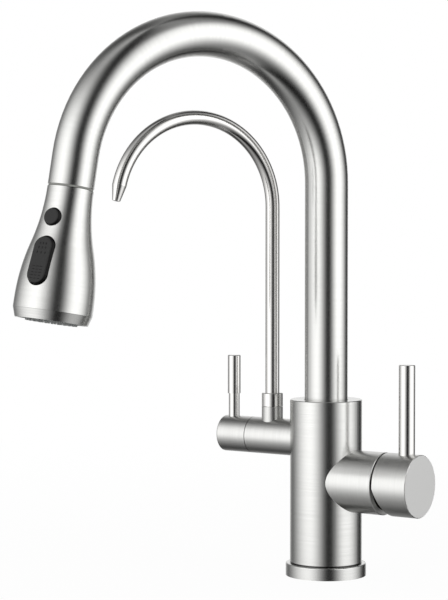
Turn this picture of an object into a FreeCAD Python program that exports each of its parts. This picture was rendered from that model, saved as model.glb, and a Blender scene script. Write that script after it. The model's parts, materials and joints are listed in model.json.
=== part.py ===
"""Three-way kitchen faucet: a mixer with a pull-down spray on a swivelling gooseneck, and a filtered-water
spout with its own valve. Lengths are millimetres and angles degrees. The origin is the centre of the base on
the deck, +Z is up, the front is -Y, the mixer handle is on +X and the filter valve on -X."""
import FreeCAD, Part
import math
import os
import re
import Sketcher

V = FreeCAD.Vector
Z_AXIS = V(0, 0, 1)

# Driving dimensions, by group
SIZES = {
    # fits shared by all pieces
    "seat_fit": 0.05,            # gap round what is soldered, pressed or screwed in
    "running_fit": 0.05,         # radial gap round what turns or slides
    "part_gap": 0.3,             # gap between pieces that pass each other
    "edge_break": 0.4,           # broken sharp edges
    "overshoot": 1,              # how far a drill or cutter reaches past a face
    # base and column
    "flange_step": 3,            # flange wider than the column, on each side
    "flange_height": 8.7,
    "flange_round": 1,
    "column_seat": 4.7,          # how deep the column stands in the flange
    "seam_height": 0.9,          # groove in the column where it leaves the flange
    "seam_depth": 0.5,
    "gasket_width": 4,
    "gasket_thickness": 1.5,
    "gasket_margin": 2.5,
    "gasket_rib": 1.5,           # rim between the gasket and the bore of the flange
    "body_diameter": 50,
    "body_wall": 2,
    "top_plate": 3,
    "mixer_height": 66.9,        # mixer axis above the deck
    "filter_rise": 27.4,         # filter axis above the mixer axis
    # waterways inside the column
    "shank_bore": 32,            # tapped for the mounting shank
    "socket_height": 14,
    "block_height": 14,
    "port_bore": 7,              # tapped for the supply hoses
    "port_depth": 9,
    "port_circle": 23,
    "port_angle": 50,            # hot and cold ports either side of the mixer side
    "pipe_diameter": 6,
    "pipe_wall": 0.8,
    "pipe_bend": 6,
    "pipe_seat": 4,
    # pull-out hose
    "hose_diameter": 12,
    "hose_wall": 2,
    "hose_room": 1,              # room round the hose in the water block
    "tail_rise": 1,              # hose tail above the bottom of the water block
    "tail_flange": 5,
    "tail_barb": 12,
    # main spout
    "spout_diameter": 30,
    "spout_wall": 1.2,
    "spout_arch": 98.4,          # radius of the arch's centre line
    "spout_arch_height": 272.6,
    "spout_sweep": 170.5,
    "spout_tail": 20.4,
    "spout_swing": 23.8,         # turned from straight ahead towards the filter side
    "sleeve_gap": 0.7,
    "sleeve_length": 21.6,
    "sleeve_lip": 2,
    "lip_bore": 22,
    "glide_wall": 1.4,
    "glide_flange": 1,
    "foot_height": 11,
    "foot_spigot": 9,
    "foot_bore": 18,
    "groove_depth": 1.5,
    "spout_screw_diameter": 5,
    # mixer valve
    "mixer_diameter": 43,
    "mixer_wall": 3.6,
    "seat_depth": 6.5,           # how far the seat reaches into the column
    "seat_flange": 3,
    "seat_lip": 0.9,
    "seat_port_rise": 5,
    "seat_port_drop": 9,
    "seal_diameter": 8.4,
    "seal_thickness": 1,
    "cartridge_wall": 2.1,
    "case_base": 2,
    "case_shoulder": 2,
    "case_neck": 3.5,
    "neck_wall": 3.1,
    "disc_thickness": 2.5,
    "moving_disc_diameter": 24,
    "mixing_pocket": 12,
    "mixing_pocket_depth": 1.2,
    "driver_diameter": 20,
    "driver_height": 3.5,
    "carrier_flange": 2,
    "carrier_neck": 19.6,
    "lever_pin_diameter": 3,
    "stem_diameter": 8,
    "stem_ball": 3.2,
    "stem_waist": 2,
    "nut_height": 4.2,
    "housing_recess": 0.6,
    "cap_gap": 1.1,
    "cap_length": 26,
    "cap_wall": 3,
    "cap_cavity": 8.5,
    "stem_grip": 11,             # length of stem held in the cap
    "lift_angle": 19,            # full lift of the lever, and the wedge cut under the cap
    "lever_diameter": 11.2,
    "lever_at": 15.5,            # along the cap
    "lever_root": 13.5,
    "lever_top": 82.2,           # above the mixer axis
    "mixer_screw_diameter": 5,
    "mixer_screw_at": 18.2,
    "plug_diameter": 6.6,
    "plug_thickness": 1.5,
    # filter valve
    "filter_diameter": 25.6,
    "filter_offset": 44.7,       # riser axis from the column axis
    "boss_diameter": 15,
    "boss_height": 21,           # top of the boss above the filter axis
    "boss_root": 1,              # arm wall left under the boss, over the valve's cavity
    "cavity_bore": 18,
    "cavity_back": 7.7,
    "washer_thickness": 1.2,
    "nose_diameter": 14,
    "nose_reach": 5.3,           # nose past the riser axis, up to the thread
    "thread_length": 10.2,
    "chamber_bore": 11,
    "window_diameter": 4,
    "filter_disc_thickness": 2.5,
    "filter_port": 3,
    "filter_port_at": 2.8,
    "filter_driver": 8.4,
    "filter_driver_height": 2.5,
    "filter_stem_diameter": 7,
    "filter_cap_gap": 0.5,
    "filter_cap_length": 23.9,
    "filter_cap_round": 1.2,
    "filter_grip": 11.5,
    "filter_lever_at": 16.7,
    "filter_lever_root": 2.4,
    "filter_lever_diameter": 7.8,
    "filter_lever_neck": 28.9,   # top of the slim part above the filter axis
    "filter_grip_diameter": 9.2,
    "filter_lever_top": 56.3,
    "filter_screw_diameter": 4,
    "filter_screw_at": 6,
    # filter spout
    "spigot_diameter": 11,
    "spigot_length": 10.8,
    "spigot_bore": 6.4,
    "ring_groove": 1.5,
    "ring_depth": 1.1,
    "ring_first": 8.1,           # O-rings below the top of the boss
    "ring_second": 5.5,
    "retainer_diameter": 3,
    "retainer_drop": 3,
    "collar_gap": 0.4,
    "collar_height": 9.3,
    "tube_stop": 0.8,
    "filter_tube_diameter": 10,
    "filter_tube_wall": 1,
    "filter_arch": 61.4,
    "filter_arch_height": 256.5,
    "filter_sweep": 166.8,
    "filter_swing": 25.5,
    "tip_length": 10.7,
    "tip_diameter": 5.6,
    "tip_bore": 4,
    "tip_spigot": 4,             # short, as the tube is bent up to its end
    # dock and hose end
    "dock_flange": 1.2,
    "dock_step": 0.5,            # how far the dock's rim stands inside the tube's surface
    "dock_depth": 14,
    "dock_play": 0.5,
    "head_turn": -30.8,          # head turned about its own axis, from facing outward
    "ferrule_length": 6.9,
    "ferrule_wall": 1.4,
    "ferrule_lip": 1,
    "hose_stem_neck": 8.4,
    "hose_stem_bore": 5,
    "hose_stem_flange": 11.2,
    "hose_stem_flange_height": 2.9,
    "swivel_nut_diameter": 17.6,
    "swivel_nut_above": 13,
    "swivel_nut_lip": 2,
    "swivel_thread": 14.8,
    "swivel_thread_length": 8,
    "valve_bore": 6,
    # spray head
    "head_diameter": 51.4,
    "head_length": 86,
    "head_skirt": 11,            # straight part and band below the S-curve
    "head_band": 6,              # conical band at the rim
    "band_step": 0.12,
    "rim_diameter": 47.4,
    "head_wall": 2,
    "lip_height": 8,
    "core_diameter": 14,
    "core_bore": 9,
    "core_collar": 24,
    "core_collar_height": 3.7,
    "funnel_length": 8,          # where the core opens out
    "chamber_length": 12,        # from there to the rim
    "plate_thickness": 3,
    "plate_recess": 1.4,
    "mat_thickness": 1.8,
    "nozzle_diameter": 1.8,
    "nozzle_proud": 1.2,         # beyond the rim
    "nozzle_outer_circle": 32,
    "nozzle_outer_count": 24,
    "nozzle_inner_circle": 24.4,
    "nozzle_inner_count": 18,
    "aerator_diameter": 16,
    "aerator_wall": 1.2,
    "aerator_height": 6,
    "aerator_grid": 0.8,
    "grid_hole": 1.8,
    "grid_outer_circle": 10,
    "grid_outer_count": 12,
    "grid_inner_circle": 5,
    "grid_inner_count": 6,
    # controls on the spray head
    "button_at": 20.4,
    "button_diameter": 11.6,
    "button_proud": 2,
    "button_round": 1.8,
    "button_inset": 4,
    "button_flange": 13.6,
    "button_flange_height": 1.2,
    "plunger_diameter": 3,
    "plunger_reach": 1.75,       # through the core's wall
    "spring_diameter": 7,
    "spring_wall": 0.8,
    "spring_clear": 0.75,
    "rocker_at": 49,
    "rocker_length": 31.8,
    "rocker_width": 14.2,
    "rocker_proud": 1.6,
    "rocker_inset": 3.5,
    "rocker_round": 1.8,
    "rocker_play": 0.7,
    "rocker_pin_diameter": 2,
    "rocker_pin_depth": 6.5,
    "lug_width": 7.8,
    "lug_length": 6,
    "lug_depth": 8,
    "ear_thickness": 2,
    "ear_length": 6,
    "ear_top": 5,
    "ear_root": 1,               # how deep the ears sink into the core
    "arm_diameter": 2.4,
    "arm_swing": 6.2,             # slot in the core for the arm's travel
    "spool_length": 12,
    "spool_groove": 3.6,
    "spool_waist": 5.2,
}

doc = FreeCAD.newDocument("faucet")
sheet = doc.addObject("Spreadsheet::Sheet", "sizes")
for row, (alias, size) in enumerate(SIZES.items(), start=1):
    sheet.set(f"A{row}", alias)
    sheet.set(f"B{row}", str(size))
    sheet.setAlias(f"B{row}", alias)
doc.recompute()
pieces = []


# Helpers that tie every sketch, feature and placement to the sheet
def bound(formula):
    """The formula with each size pointed at its cell of the sheet."""
    return re.sub(r"[a-z]\w*", lambda word: "sizes." * (word.group() in SIZES) + word.group(), formula)


def value(formula):
    result = sheet.evalExpression(bound(formula))
    return float(getattr(result, "Value", result))


def put(obj, frame=None, x="0", y="0", z="0", axis="0; 0; 1", angle="0"):
    """Places an object in a named frame, at a point, turned about an axis."""
    place = f"placement(vector({x}; {y}; {z}); rotation(vector({axis}); {angle}))"
    obj.setExpression("Placement", bound(f"{frame}.Placement * {place}" if frame else place))
    return obj


def frame(name, parent=None, **place):
    return put(doc.addObject("App::Placement", name), parent, **place)


def keep(name, obj):
    """Names a finished piece and lists it for export."""
    obj.Label = name
    pieces.append(obj)
    return obj


def flat_sketch(body, name, role):
    sketch = body.newObject("Sketcher::SketchObject", name)
    plane = next(feature for feature in body.Origin.OriginFeatures if feature.Role == role)
    sketch.AttachmentSupport = (plane, [""])
    sketch.MapMode = "FlatFace"
    return sketch


def tie(sketch, constraint, formula):
    row = sketch.addConstraint(constraint)
    sketch.setExpression(f"Constraints[{row}]", bound(formula))


def hold(sketch, curve, end, across, up):
    """Holds a curve's end at a distance from the sketch's two axes."""
    for kind, axis, formula in (("DistanceX", -2, across), ("DistanceY", -1, up)):
        if formula == "0":
            sketch.addConstraint(Sketcher.Constraint("PointOnObject", curve, end, axis))
        else:
            tie(sketch, Sketcher.Constraint(kind, -1, 1, curve, end, value(formula)), formula)


def draw(sketch, outline, closed=True):
    """Straight runs from point to point. A point (across, up, radius, side) is reached by an arc whose centre
    lies on the left (side 1) or on the right (side -1) of the way to it."""
    points = [V(value(point[0]), value(point[1]), 0) for point in outline]
    count = len(outline) if closed else len(outline) - 1
    ends = []
    for number in range(count):
        start, finish = points[number], points[(number + 1) % len(points)]
        target = outline[(number + 1) % len(outline)]
        if len(target) == 2:
            curve = sketch.addGeometry(Part.LineSegment(start, finish), False)
            ends.append((curve, 1, 2))
            continue
        radius, side = value(target[2]), target[3]
        way = finish - start
        rise = math.sqrt(max(radius ** 2 - (way.Length / 2) ** 2, 0))
        centre = (start + finish) / 2 + V(-way.y, way.x, 0).normalize() * rise * side
        first, last = (start, finish) if side > 0 else (finish, start)
        angles = [math.atan2(point.y - centre.y, point.x - centre.x) for point in (first, last)]
        circle = Part.Circle(centre, Z_AXIS, radius)
        curve = sketch.addGeometry(Part.ArcOfCircle(circle, *angles), False)
        tie(sketch, Sketcher.Constraint("Radius", curve, radius), target[2])
        ends.append((curve, 1, 2) if side > 0 else (curve, 2, 1))
    for number, (curve, start, finish) in enumerate(ends):
        hold(sketch, curve, start, *outline[number][:2])
        following = ends[(number + 1) % count]
        if closed or number + 1 < count:
            sketch.addConstraint(Sketcher.Constraint("Coincident", curve, finish, following[0], following[1]))
    if not closed:
        hold(sketch, ends[-1][0], ends[-1][2], *outline[-1][:2])


def turned(name, outline, parent=None, **place):
    """A turned piece: an outline of (radius, height) points revolved about its own Z axis."""
    body = doc.addObject("PartDesign::Body", name)
    sketch = flat_sketch(body, name + "_outline", "XZ_Plane")
    draw(sketch, outline)
    turn = body.newObject("PartDesign::Revolution", name + "_turn")
    turn.Profile = sketch
    turn.ReferenceAxis = (sketch, ["V_Axis"])
    turn.Angle = 360
    return put(body, parent, **place)


def ring(name, inner, outer, low, high, parent=None, **place):
    outline = [(inner, low), (outer, low), (outer, high), (inner, high)]
    return turned(name, outline, parent, **place)


def add_circle(sketch, diameter, across="0"):
    circle = sketch.addGeometry(Part.Circle(V(value(across), 0, 0), Z_AXIS, value(diameter) / 2), False)
    hold(sketch, circle, 3, across, "0")
    tie(sketch, Sketcher.Constraint("Diameter", circle, value(diameter)), diameter)


def piped(name, route, diameter, wall, parent=None, **place):
    """A bent tube: a ring carried along a route that starts straight up in the body's XZ plane."""
    body = doc.addObject("PartDesign::Body", name)
    spine = flat_sketch(body, name + "_route", "XZ_Plane")
    draw(spine, route, closed=False)
    section = flat_sketch(body, name + "_section", "XY_Plane")
    section.setExpression("AttachmentOffset.Base.z", bound(route[0][1]))
    add_circle(section, diameter)
    add_circle(section, f"{diameter} - 2 * {wall}")
    pipe = body.newObject("PartDesign::AdditivePipe", name + "_pipe")
    pipe.Profile = section
    pipe.Spine = spine
    return put(body, parent, **place)


def padded(name, outline, height, parent=None, **place):
    body = doc.addObject("PartDesign::Body", name)
    sketch = flat_sketch(body, name + "_outline", "XY_Plane")
    draw(sketch, outline)
    pad = body.newObject("PartDesign::Pad", name + "_pad")
    pad.Profile = sketch
    pad.setExpression("Length", bound(height))
    return put(body, parent, **place)


def circle_of(body, name, kind, diameter, circle, count, level, length):
    """A ring of round pegs (Pad) or holes (Pocket) that start at a level of a turned body."""
    sketch = flat_sketch(body, name + "_sketch", "XY_Plane")
    sketch.setExpression("AttachmentOffset.Base.z", bound(level))
    add_circle(sketch, diameter, f"{circle} / 2")
    feature = body.newObject(f"PartDesign::{kind}", name)
    feature.Profile = sketch
    feature.setExpression("Length", bound(length))
    pattern = body.newObject("PartDesign::PolarPattern", name + "_pattern")
    pattern.Originals = [feature]
    pattern.Axis = (sketch, ["N_Axis"])
    pattern.Angle = 360
    pattern.setExpression("Occurrences", bound(count))
    body.Tip = pattern


def rod(name, diameter, length, parent=None, **place):
    cylinder = doc.addObject("Part::Cylinder", name)
    cylinder.setExpression("Radius", bound(f"({diameter}) / 2"))
    cylinder.setExpression("Height", bound(length))
    return put(cylinder, parent, **place)


def block(name, length, width, height, parent=None, **place):
    box = doc.addObject("Part::Box", name)
    for side, formula in (("Length", length), ("Width", width), ("Height", height)):
        box.setExpression(side, bound(formula))
    return put(box, parent, **place)


def carve(name, base, *tools):
    for number, tool in enumerate(tools, start=1):
        cut = doc.addObject("Part::Cut", f"{name}_cut_{number}")
        cut.Base = base
        cut.Tool = tool
        base = cut
    return base


def join(name, *solids):
    fuse = doc.addObject("Part::MultiFuse", name + "_joined")
    fuse.Shapes = list(solids)
    return fuse


def group(name, *solids):
    compound = doc.addObject("Part::Compound", name)
    compound.Links = list(solids)
    return compound


# Levels and radii that several pieces share
FILTER_Z = "(mixer_height + filter_rise)"
COLUMN_BASE = "(flange_height - column_seat)"
SOCKET_TOP = f"({COLUMN_BASE} + socket_height)"
BLOCK_TOP = f"({SOCKET_TOP} + block_height)"
SLEEVE_BASE = f"({FILTER_Z} + pipe_diameter / 2 + sleeve_gap)"
SLEEVE_TOP = f"({SLEEVE_BASE} + sleeve_length)"
BODY_TOP = f"({SLEEVE_TOP} + top_plate)"
BODY_R = "(body_diameter / 2)"
BODY_IN = "(body_diameter / 2 - body_wall)"
BODY_FIT = f"({BODY_IN} - seat_fit)"
SPOUT_R = "(spout_diameter / 2)"
SPOUT_IN = "(spout_diameter / 2 - spout_wall)"
PIPE_BORE = "(pipe_diameter - 2 * pipe_wall)"
PIPE_SOCKET = "(pipe_diameter + 2 * seat_fit)"
MIXER_R = "(mixer_diameter / 2)"
MIXER_BORE = f"({MIXER_R} - mixer_wall)"
SEAT_HOLE = f"({MIXER_BORE} - seat_lip)"

# Frames: local Z runs along the mixer's axis, the filter's axis, the spout's outlet and the controls' normals
ARCH_OUT = "spout_arch * (1 - cos(spout_sweep))"
ARCH_UP = "spout_arch_height + spout_arch * sin(spout_sweep)"
SWELL = "(head_length - head_skirt)"
SWELL_OUT = f"(head_diameter / 2 - {SPOUT_R})"
SWELL_R = f"(({SWELL} * {SWELL} + {SWELL_OUT} * {SWELL_OUT}) / (4 * {SWELL_OUT}))"
BUTTON_SLOPE = f"(button_at / {SWELL_R})"
ROCKER_SLOPE = f"(({SWELL} - rocker_at) / {SWELL_R})"
BUTTON_R = f"({SPOUT_R} + {SWELL_R} - sqrt({SWELL_R} ^ 2 - button_at ^ 2))"
ROCKER_R = f"(head_diameter / 2 - {SWELL_R} + sqrt({SWELL_R} ^ 2 - ({SWELL} - rocker_at) ^ 2))"
ROCKER_COS = f"sqrt(1 - {ROCKER_SLOPE} ^ 2)"
BUTTON_COS = f"sqrt(1 - {BUTTON_SLOPE} ^ 2)"
Y_AXIS = "0; 1; 0"
X_AXIS = "1; 0; 0"
frame("mixer_frame", z="mixer_height", axis=Y_AXIS, angle="90")
frame("filter_frame", z=FILTER_Z, axis=Y_AXIS, angle="-90")
frame("spout_frame", angle="-90 - spout_swing")
frame("spout_end", "spout_frame", x=ARCH_OUT, z=ARCH_UP, axis=Y_AXIS, angle="spout_sweep")
frame("dock_frame", "spout_end", z="spout_tail", angle="180")
frame("head_frame", "dock_frame", z="dock_flange + part_gap", angle="head_turn")
frame("button_frame", "head_frame", x=BUTTON_R, z="button_at", axis=Y_AXIS,
      angle=f"90 deg + asin({BUTTON_SLOPE})")
frame("rocker_frame", "head_frame", x=ROCKER_R, z="rocker_at", axis=Y_AXIS,
      angle=f"90 deg + asin({ROCKER_SLOPE})")
frame("filter_riser", x="-filter_offset", angle="-90 - filter_swing")
frame("filter_outlet", "filter_riser", x="filter_arch * (1 - cos(filter_sweep))",
      z="filter_arch_height + filter_arch * sin(filter_sweep)", axis=Y_AXIS, angle="filter_sweep")


def base_and_column():
    """The flange on the deck, its gasket, the column, and the brass ring that takes the mounting shank."""
    rim = f"{BODY_R} + flange_step"
    gasket_out = f"{rim} - gasket_margin"
    gasket_in = f"{gasket_out} - gasket_width"
    bore = f"{gasket_in} - gasket_rib"
    keep("base_flange", turned("base_flange", [
        (bore, "0"), (gasket_in, "0"), (gasket_in, "gasket_thickness"),
        (gasket_out, "gasket_thickness"), (gasket_out, "0"), (rim, "0"),
        (rim, "flange_height - flange_round"), (f"{rim} - flange_round", "flange_height", "flange_round", 1),
        (f"{BODY_R} + seat_fit", "flange_height"), (f"{BODY_R} + seat_fit", COLUMN_BASE),
        (bore, COLUMN_BASE)]))
    keep("base_gasket", ring("base_gasket", f"{gasket_in} + seat_fit", f"{gasket_out} - seat_fit", "0",
                             "gasket_thickness"))
    spout_hole = f"{SPOUT_R} + part_gap"
    seam_in, seam_top = f"{BODY_R} - seam_depth", "flange_height + seam_height"
    column = turned("column_tube", [
        (BODY_IN, COLUMN_BASE), (BODY_R, COLUMN_BASE), (BODY_R, "flange_height"), (seam_in, "flange_height"),
        (seam_in, seam_top), (BODY_R, seam_top), (BODY_R, f"{BODY_TOP} - edge_break"),
        (f"{BODY_R} - edge_break", BODY_TOP), (spout_hole, BODY_TOP), (spout_hole, SLEEVE_TOP),
        (BODY_IN, SLEEVE_TOP)])
    mixer_hole = rod("mixer_hole", f"2 * {SEAT_HOLE}", "body_diameter", "mixer_frame")
    pipe_hole = rod("pipe_hole", "pipe_diameter + 2 * part_gap", "body_diameter", "filter_frame")
    keep("body_column", carve("body_column", column, mixer_hole, pipe_hole, spout_screw_hole("column")))
    keep("mounting_socket", ring("mounting_socket", "shank_bore / 2", BODY_FIT, COLUMN_BASE, SOCKET_TOP))


def port_places():
    """The four ports of the water block: name, x and y from the column's axis."""
    across = "port_circle / 2 * cos(port_angle)"
    aside = "port_circle / 2 * sin(port_angle)"
    return [("hot", across, aside), ("cold", across, f"-({aside})"), ("mixed", "port_circle / 2", "0"),
            ("filtered", "-port_circle / 2", "0")]


def waterways():
    """The brass block over the shank, with a tapped port under each of the four pipes."""
    blank = ring("block_blank", "hose_diameter / 2 + hose_room", BODY_FIT, SOCKET_TOP, BLOCK_TOP)
    pipe_bottom = f"{BLOCK_TOP} - pipe_seat"
    drills = []
    for name, x, y in port_places():
        drills.append(turned(f"{name}_drill", [
            ("0", f"{SOCKET_TOP} - overshoot"), ("port_bore / 2", f"{SOCKET_TOP} - overshoot"),
            ("port_bore / 2", f"{SOCKET_TOP} + port_depth"), (f"{PIPE_BORE} / 2", f"{SOCKET_TOP} + port_depth"),
            (f"{PIPE_BORE} / 2", pipe_bottom), (f"{PIPE_SOCKET} / 2", pipe_bottom),
            (f"{PIPE_SOCKET} / 2", f"{BLOCK_TOP} + overshoot"), ("0", f"{BLOCK_TOP} + overshoot")], x=x, y=y))
    keep("water_block", carve("water_block", blank, *drills))
    seat_end = f"{BODY_R} - seat_depth + pipe_seat - seat_fit"
    pipes = {}
    for name, x, y in port_places():
        top = {"mixed": "mixer_height - seat_port_drop", "filtered": FILTER_Z}.get(name,
                                                                             "mixer_height + seat_port_rise")
        end = f"{BODY_R} + pipe_seat - seat_fit + {x}" if name == "filtered" else f"{seat_end} - {x}"
        route = [("0", f"{pipe_bottom} + seat_fit"), ("0", f"{top} - pipe_bend"),
                 ("pipe_bend", top, "pipe_bend", -1), (end, top)]
        pipes[name] = piped(f"{name}_pipe", route, "pipe_diameter", "pipe_wall", x=x, y=y,
                            angle="180" if name == "filtered" else "0")
    keep("supply_pipes", group("supply_pipes", pipes["hot"], pipes["cold"]))
    keep("mixed_pipe", pipes["mixed"])
    keep("filter_pipe", pipes["filtered"])


# The spout stands on a lip of the sleeve, turns in glide rings, and a screw from behind keeps it in
LIP_TOP = f"({SLEEVE_BASE} + sleeve_lip)"
FOOT_BASE = f"({LIP_TOP} + glide_flange + running_fit)"
FOOT_TOP = f"({FOOT_BASE} + foot_height)"
GROOVE_Z = f"({FOOT_BASE} + foot_height / 2)"
GROOVE_LOW = f"({GROOVE_Z} - spout_screw_diameter / 2 - part_gap)"
GROOVE_HIGH = f"({GROOVE_Z} + spout_screw_diameter / 2 + part_gap)"
GROOVE_R = f"({SPOUT_R} - groove_depth)"
GLIDE_OUT = f"({SPOUT_R} + running_fit + glide_wall)"
TO_BACK = dict(axis=X_AXIS, angle="-90")


def spout_screw_hole(owner):
    return rod(f"{owner}_screw_hole", "spout_screw_diameter + 2 * seat_fit", "body_diameter", z=GROOVE_Z,
               **TO_BACK)


def spout_bearing():
    sleeve = turned("sleeve_blank", [
        ("lip_bore / 2", SLEEVE_BASE), (BODY_FIT, SLEEVE_BASE), (BODY_FIT, SLEEVE_TOP),
        (f"{GLIDE_OUT} + seat_fit", SLEEVE_TOP), (f"{GLIDE_OUT} + seat_fit", LIP_TOP), ("lip_bore / 2", LIP_TOP)])
    keep("swivel_sleeve", carve("swivel_sleeve", sleeve, spout_screw_hole("sleeve")))
    bearing_in = f"{SPOUT_R} + running_fit"
    lower = turned("lower_glide", [
        ("lip_bore / 2", LIP_TOP), (GLIDE_OUT, LIP_TOP), (GLIDE_OUT, GROOVE_LOW), (bearing_in, GROOVE_LOW),
        (bearing_in, f"{LIP_TOP} + glide_flange"), ("lip_bore / 2", f"{LIP_TOP} + glide_flange")])
    upper = ring("upper_glide", bearing_in, GLIDE_OUT, GROOVE_HIGH, f"{SLEEVE_TOP} - seat_fit")
    keep("glide_rings", group("glide_rings", lower, upper))
    keep("spout_screw", ring_screw("spout_screw", "spout_screw_diameter", f"{GROOVE_R} + part_gap",
                                   f"{BODY_R} - edge_break", z=GROOVE_Z, **TO_BACK))


def ring_screw(name, diameter, low, high, parent=None, **place):
    """A headless screw with a key socket in its outer end."""
    key = f"{diameter} / 4"
    outline = [("0", low), (f"{diameter} / 2", low), (f"{diameter} / 2", high), (key, high),
               (key, f"{high} - {diameter} / 2"), ("0", f"{high} - {diameter} / 2")]
    return turned(name, outline, parent, **place)


def arch_route(bottom, height, radius, sweep):
    return [("0", bottom), ("0", height),
            (f"{radius} * (1 - cos({sweep}))", f"{height} + {radius} * sin({sweep})", radius, -1)]


def straight_on(route, length):
    """The route with a straight run added along the outlet of the main arch."""
    return route + [(f"{ARCH_OUT} + ({length}) * sin(spout_sweep)", f"{ARCH_UP} + ({length}) * cos(spout_sweep)")]


def half_arch(bottom, height, radius, sweep):
    """An arch of nearly half a turn, drawn as two arcs."""
    half = f"{sweep} / 2"
    return [("0", bottom), ("0", height),
            (f"{radius} * (1 - cos({half}))", f"{height} + {radius} * sin({half})", radius, -1),
            arch_route(bottom, height, radius, sweep)[2]]


HOSE_END = "(ferrule_lip + part_gap + swivel_nut_above)"


def spout():
    main_arch = ("spout_arch_height", "spout_arch", "spout_sweep")
    tube = straight_on(half_arch(FOOT_TOP, *main_arch), "spout_tail")
    keep("spout_tube", piped("spout_tube", tube, "spout_diameter", "spout_wall", "spout_frame"))
    spigot = f"{SPOUT_IN} - seat_fit"
    spigot_top = f"{FOOT_TOP} + foot_spigot"
    keep("spout_foot", turned("spout_foot", [
        ("foot_bore / 2", FOOT_BASE), (SPOUT_R, FOOT_BASE), (SPOUT_R, GROOVE_LOW), (GROOVE_R, GROOVE_LOW),
        (GROOVE_R, GROOVE_HIGH), (SPOUT_R, GROOVE_HIGH), (SPOUT_R, FOOT_TOP), (spigot, FOOT_TOP),
        (spigot, spigot_top), ("foot_bore / 2", spigot_top)]))
    tail_bottom = f"{SOCKET_TOP} + tail_rise"
    hose_bottom = f"{tail_bottom} + tail_flange"
    hose_in = "hose_diameter / 2 - hose_wall"
    tail_bore = "hose_stem_bore / 2"
    keep("hose_tail", turned("hose_tail", [
        (tail_bore, tail_bottom), ("hose_diameter / 2 + hose_room - part_gap", tail_bottom),
        ("hose_diameter / 2 + hose_room - part_gap", hose_bottom), (f"{hose_in} - seat_fit", hose_bottom),
        (f"{hose_in} - seat_fit", f"{hose_bottom} + tail_barb"), (tail_bore, f"{hose_bottom} + tail_barb")]))
    hose_tail_run = f"spout_tail + dock_flange + part_gap - {HOSE_END}"
    hose = straight_on(half_arch(f"{hose_bottom} + seat_fit", *main_arch), hose_tail_run)
    keep("spray_hose", piped("spray_hose", hose, "hose_diameter", "hose_wall", "spout_frame"))
    dock_bore = "swivel_nut_diameter / 2 + dock_play"
    dock_out = f"{SPOUT_IN} - seat_fit"
    keep("dock_ring", turned("dock_ring", [
        (dock_bore, "-dock_depth"), (dock_out, "-dock_depth"), (dock_out, "0"), (f"{SPOUT_R} - dock_step", "0"),
        (f"{SPOUT_R} - dock_step", "dock_flange"), (dock_bore, "dock_flange")], "dock_frame"))


# Along the mixer's axis, from the column outwards
SEAT_BACK = f"({BODY_R} - seat_depth)"
SEAT_FRONT = f"({BODY_R} + seat_flange)"
CASE_FLOOR = f"({SEAT_FRONT} + case_base)"
FIXED_TOP = f"({CASE_FLOOR} + disc_thickness)"
MOVING_LOW = f"({FIXED_TOP} + running_fit)"
DRIVER_LOW = f"({MOVING_LOW} + disc_thickness)"
DRIVER_TOP = f"({DRIVER_LOW} + driver_height)"
CARRIER_LOW = f"({DRIVER_TOP} + part_gap)"
CARRIER_STEP = f"({CARRIER_LOW} + carrier_flange)"
CASE_ROOF = f"({CARRIER_STEP} + running_fit)"
CASE_SHOULDER = f"({CASE_ROOF} + case_shoulder)"
CASE_END = f"({CASE_SHOULDER} + case_neck)"
PIVOT = CASE_SHOULDER
NUT_TOP = f"({CASE_SHOULDER} + nut_height)"
HOUSING_END = f"({NUT_TOP} + housing_recess)"
CAP_START = f"({HOUSING_END} + cap_gap)"
CAP_END = f"({CAP_START} + cap_length)"
STEM_END = f"({CAP_START} + cap_cavity + stem_grip)"
CASE_R = f"({MIXER_BORE} - part_gap)"
CAVITY_R = f"({CASE_R} - cartridge_wall)"
NECK_IN = "(carrier_neck / 2 + running_fit)"
BALL_Z = f"({DRIVER_LOW} + stem_ball / 2 + 2 * running_fit)"


def seat_ports():
    """The three ports of the cartridge, as x and y in the mixer's frame, whose X axis points down."""
    places = {name: y for name, x, y in port_places()}
    return [("hot", "-seat_port_rise", places["hot"]), ("cold", "-seat_port_rise", places["cold"]),
            ("mixed", "seat_port_drop", places["mixed"])]


def port_rods(owner, low, high):
    length = f"{high} - {low} + 2 * overshoot"
    return [rod(f"{owner}_{name}_port", PIPE_BORE, length, "mixer_frame", x=x, y=y, z=f"{low} - overshoot")
            for name, x, y in seat_ports()]


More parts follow.
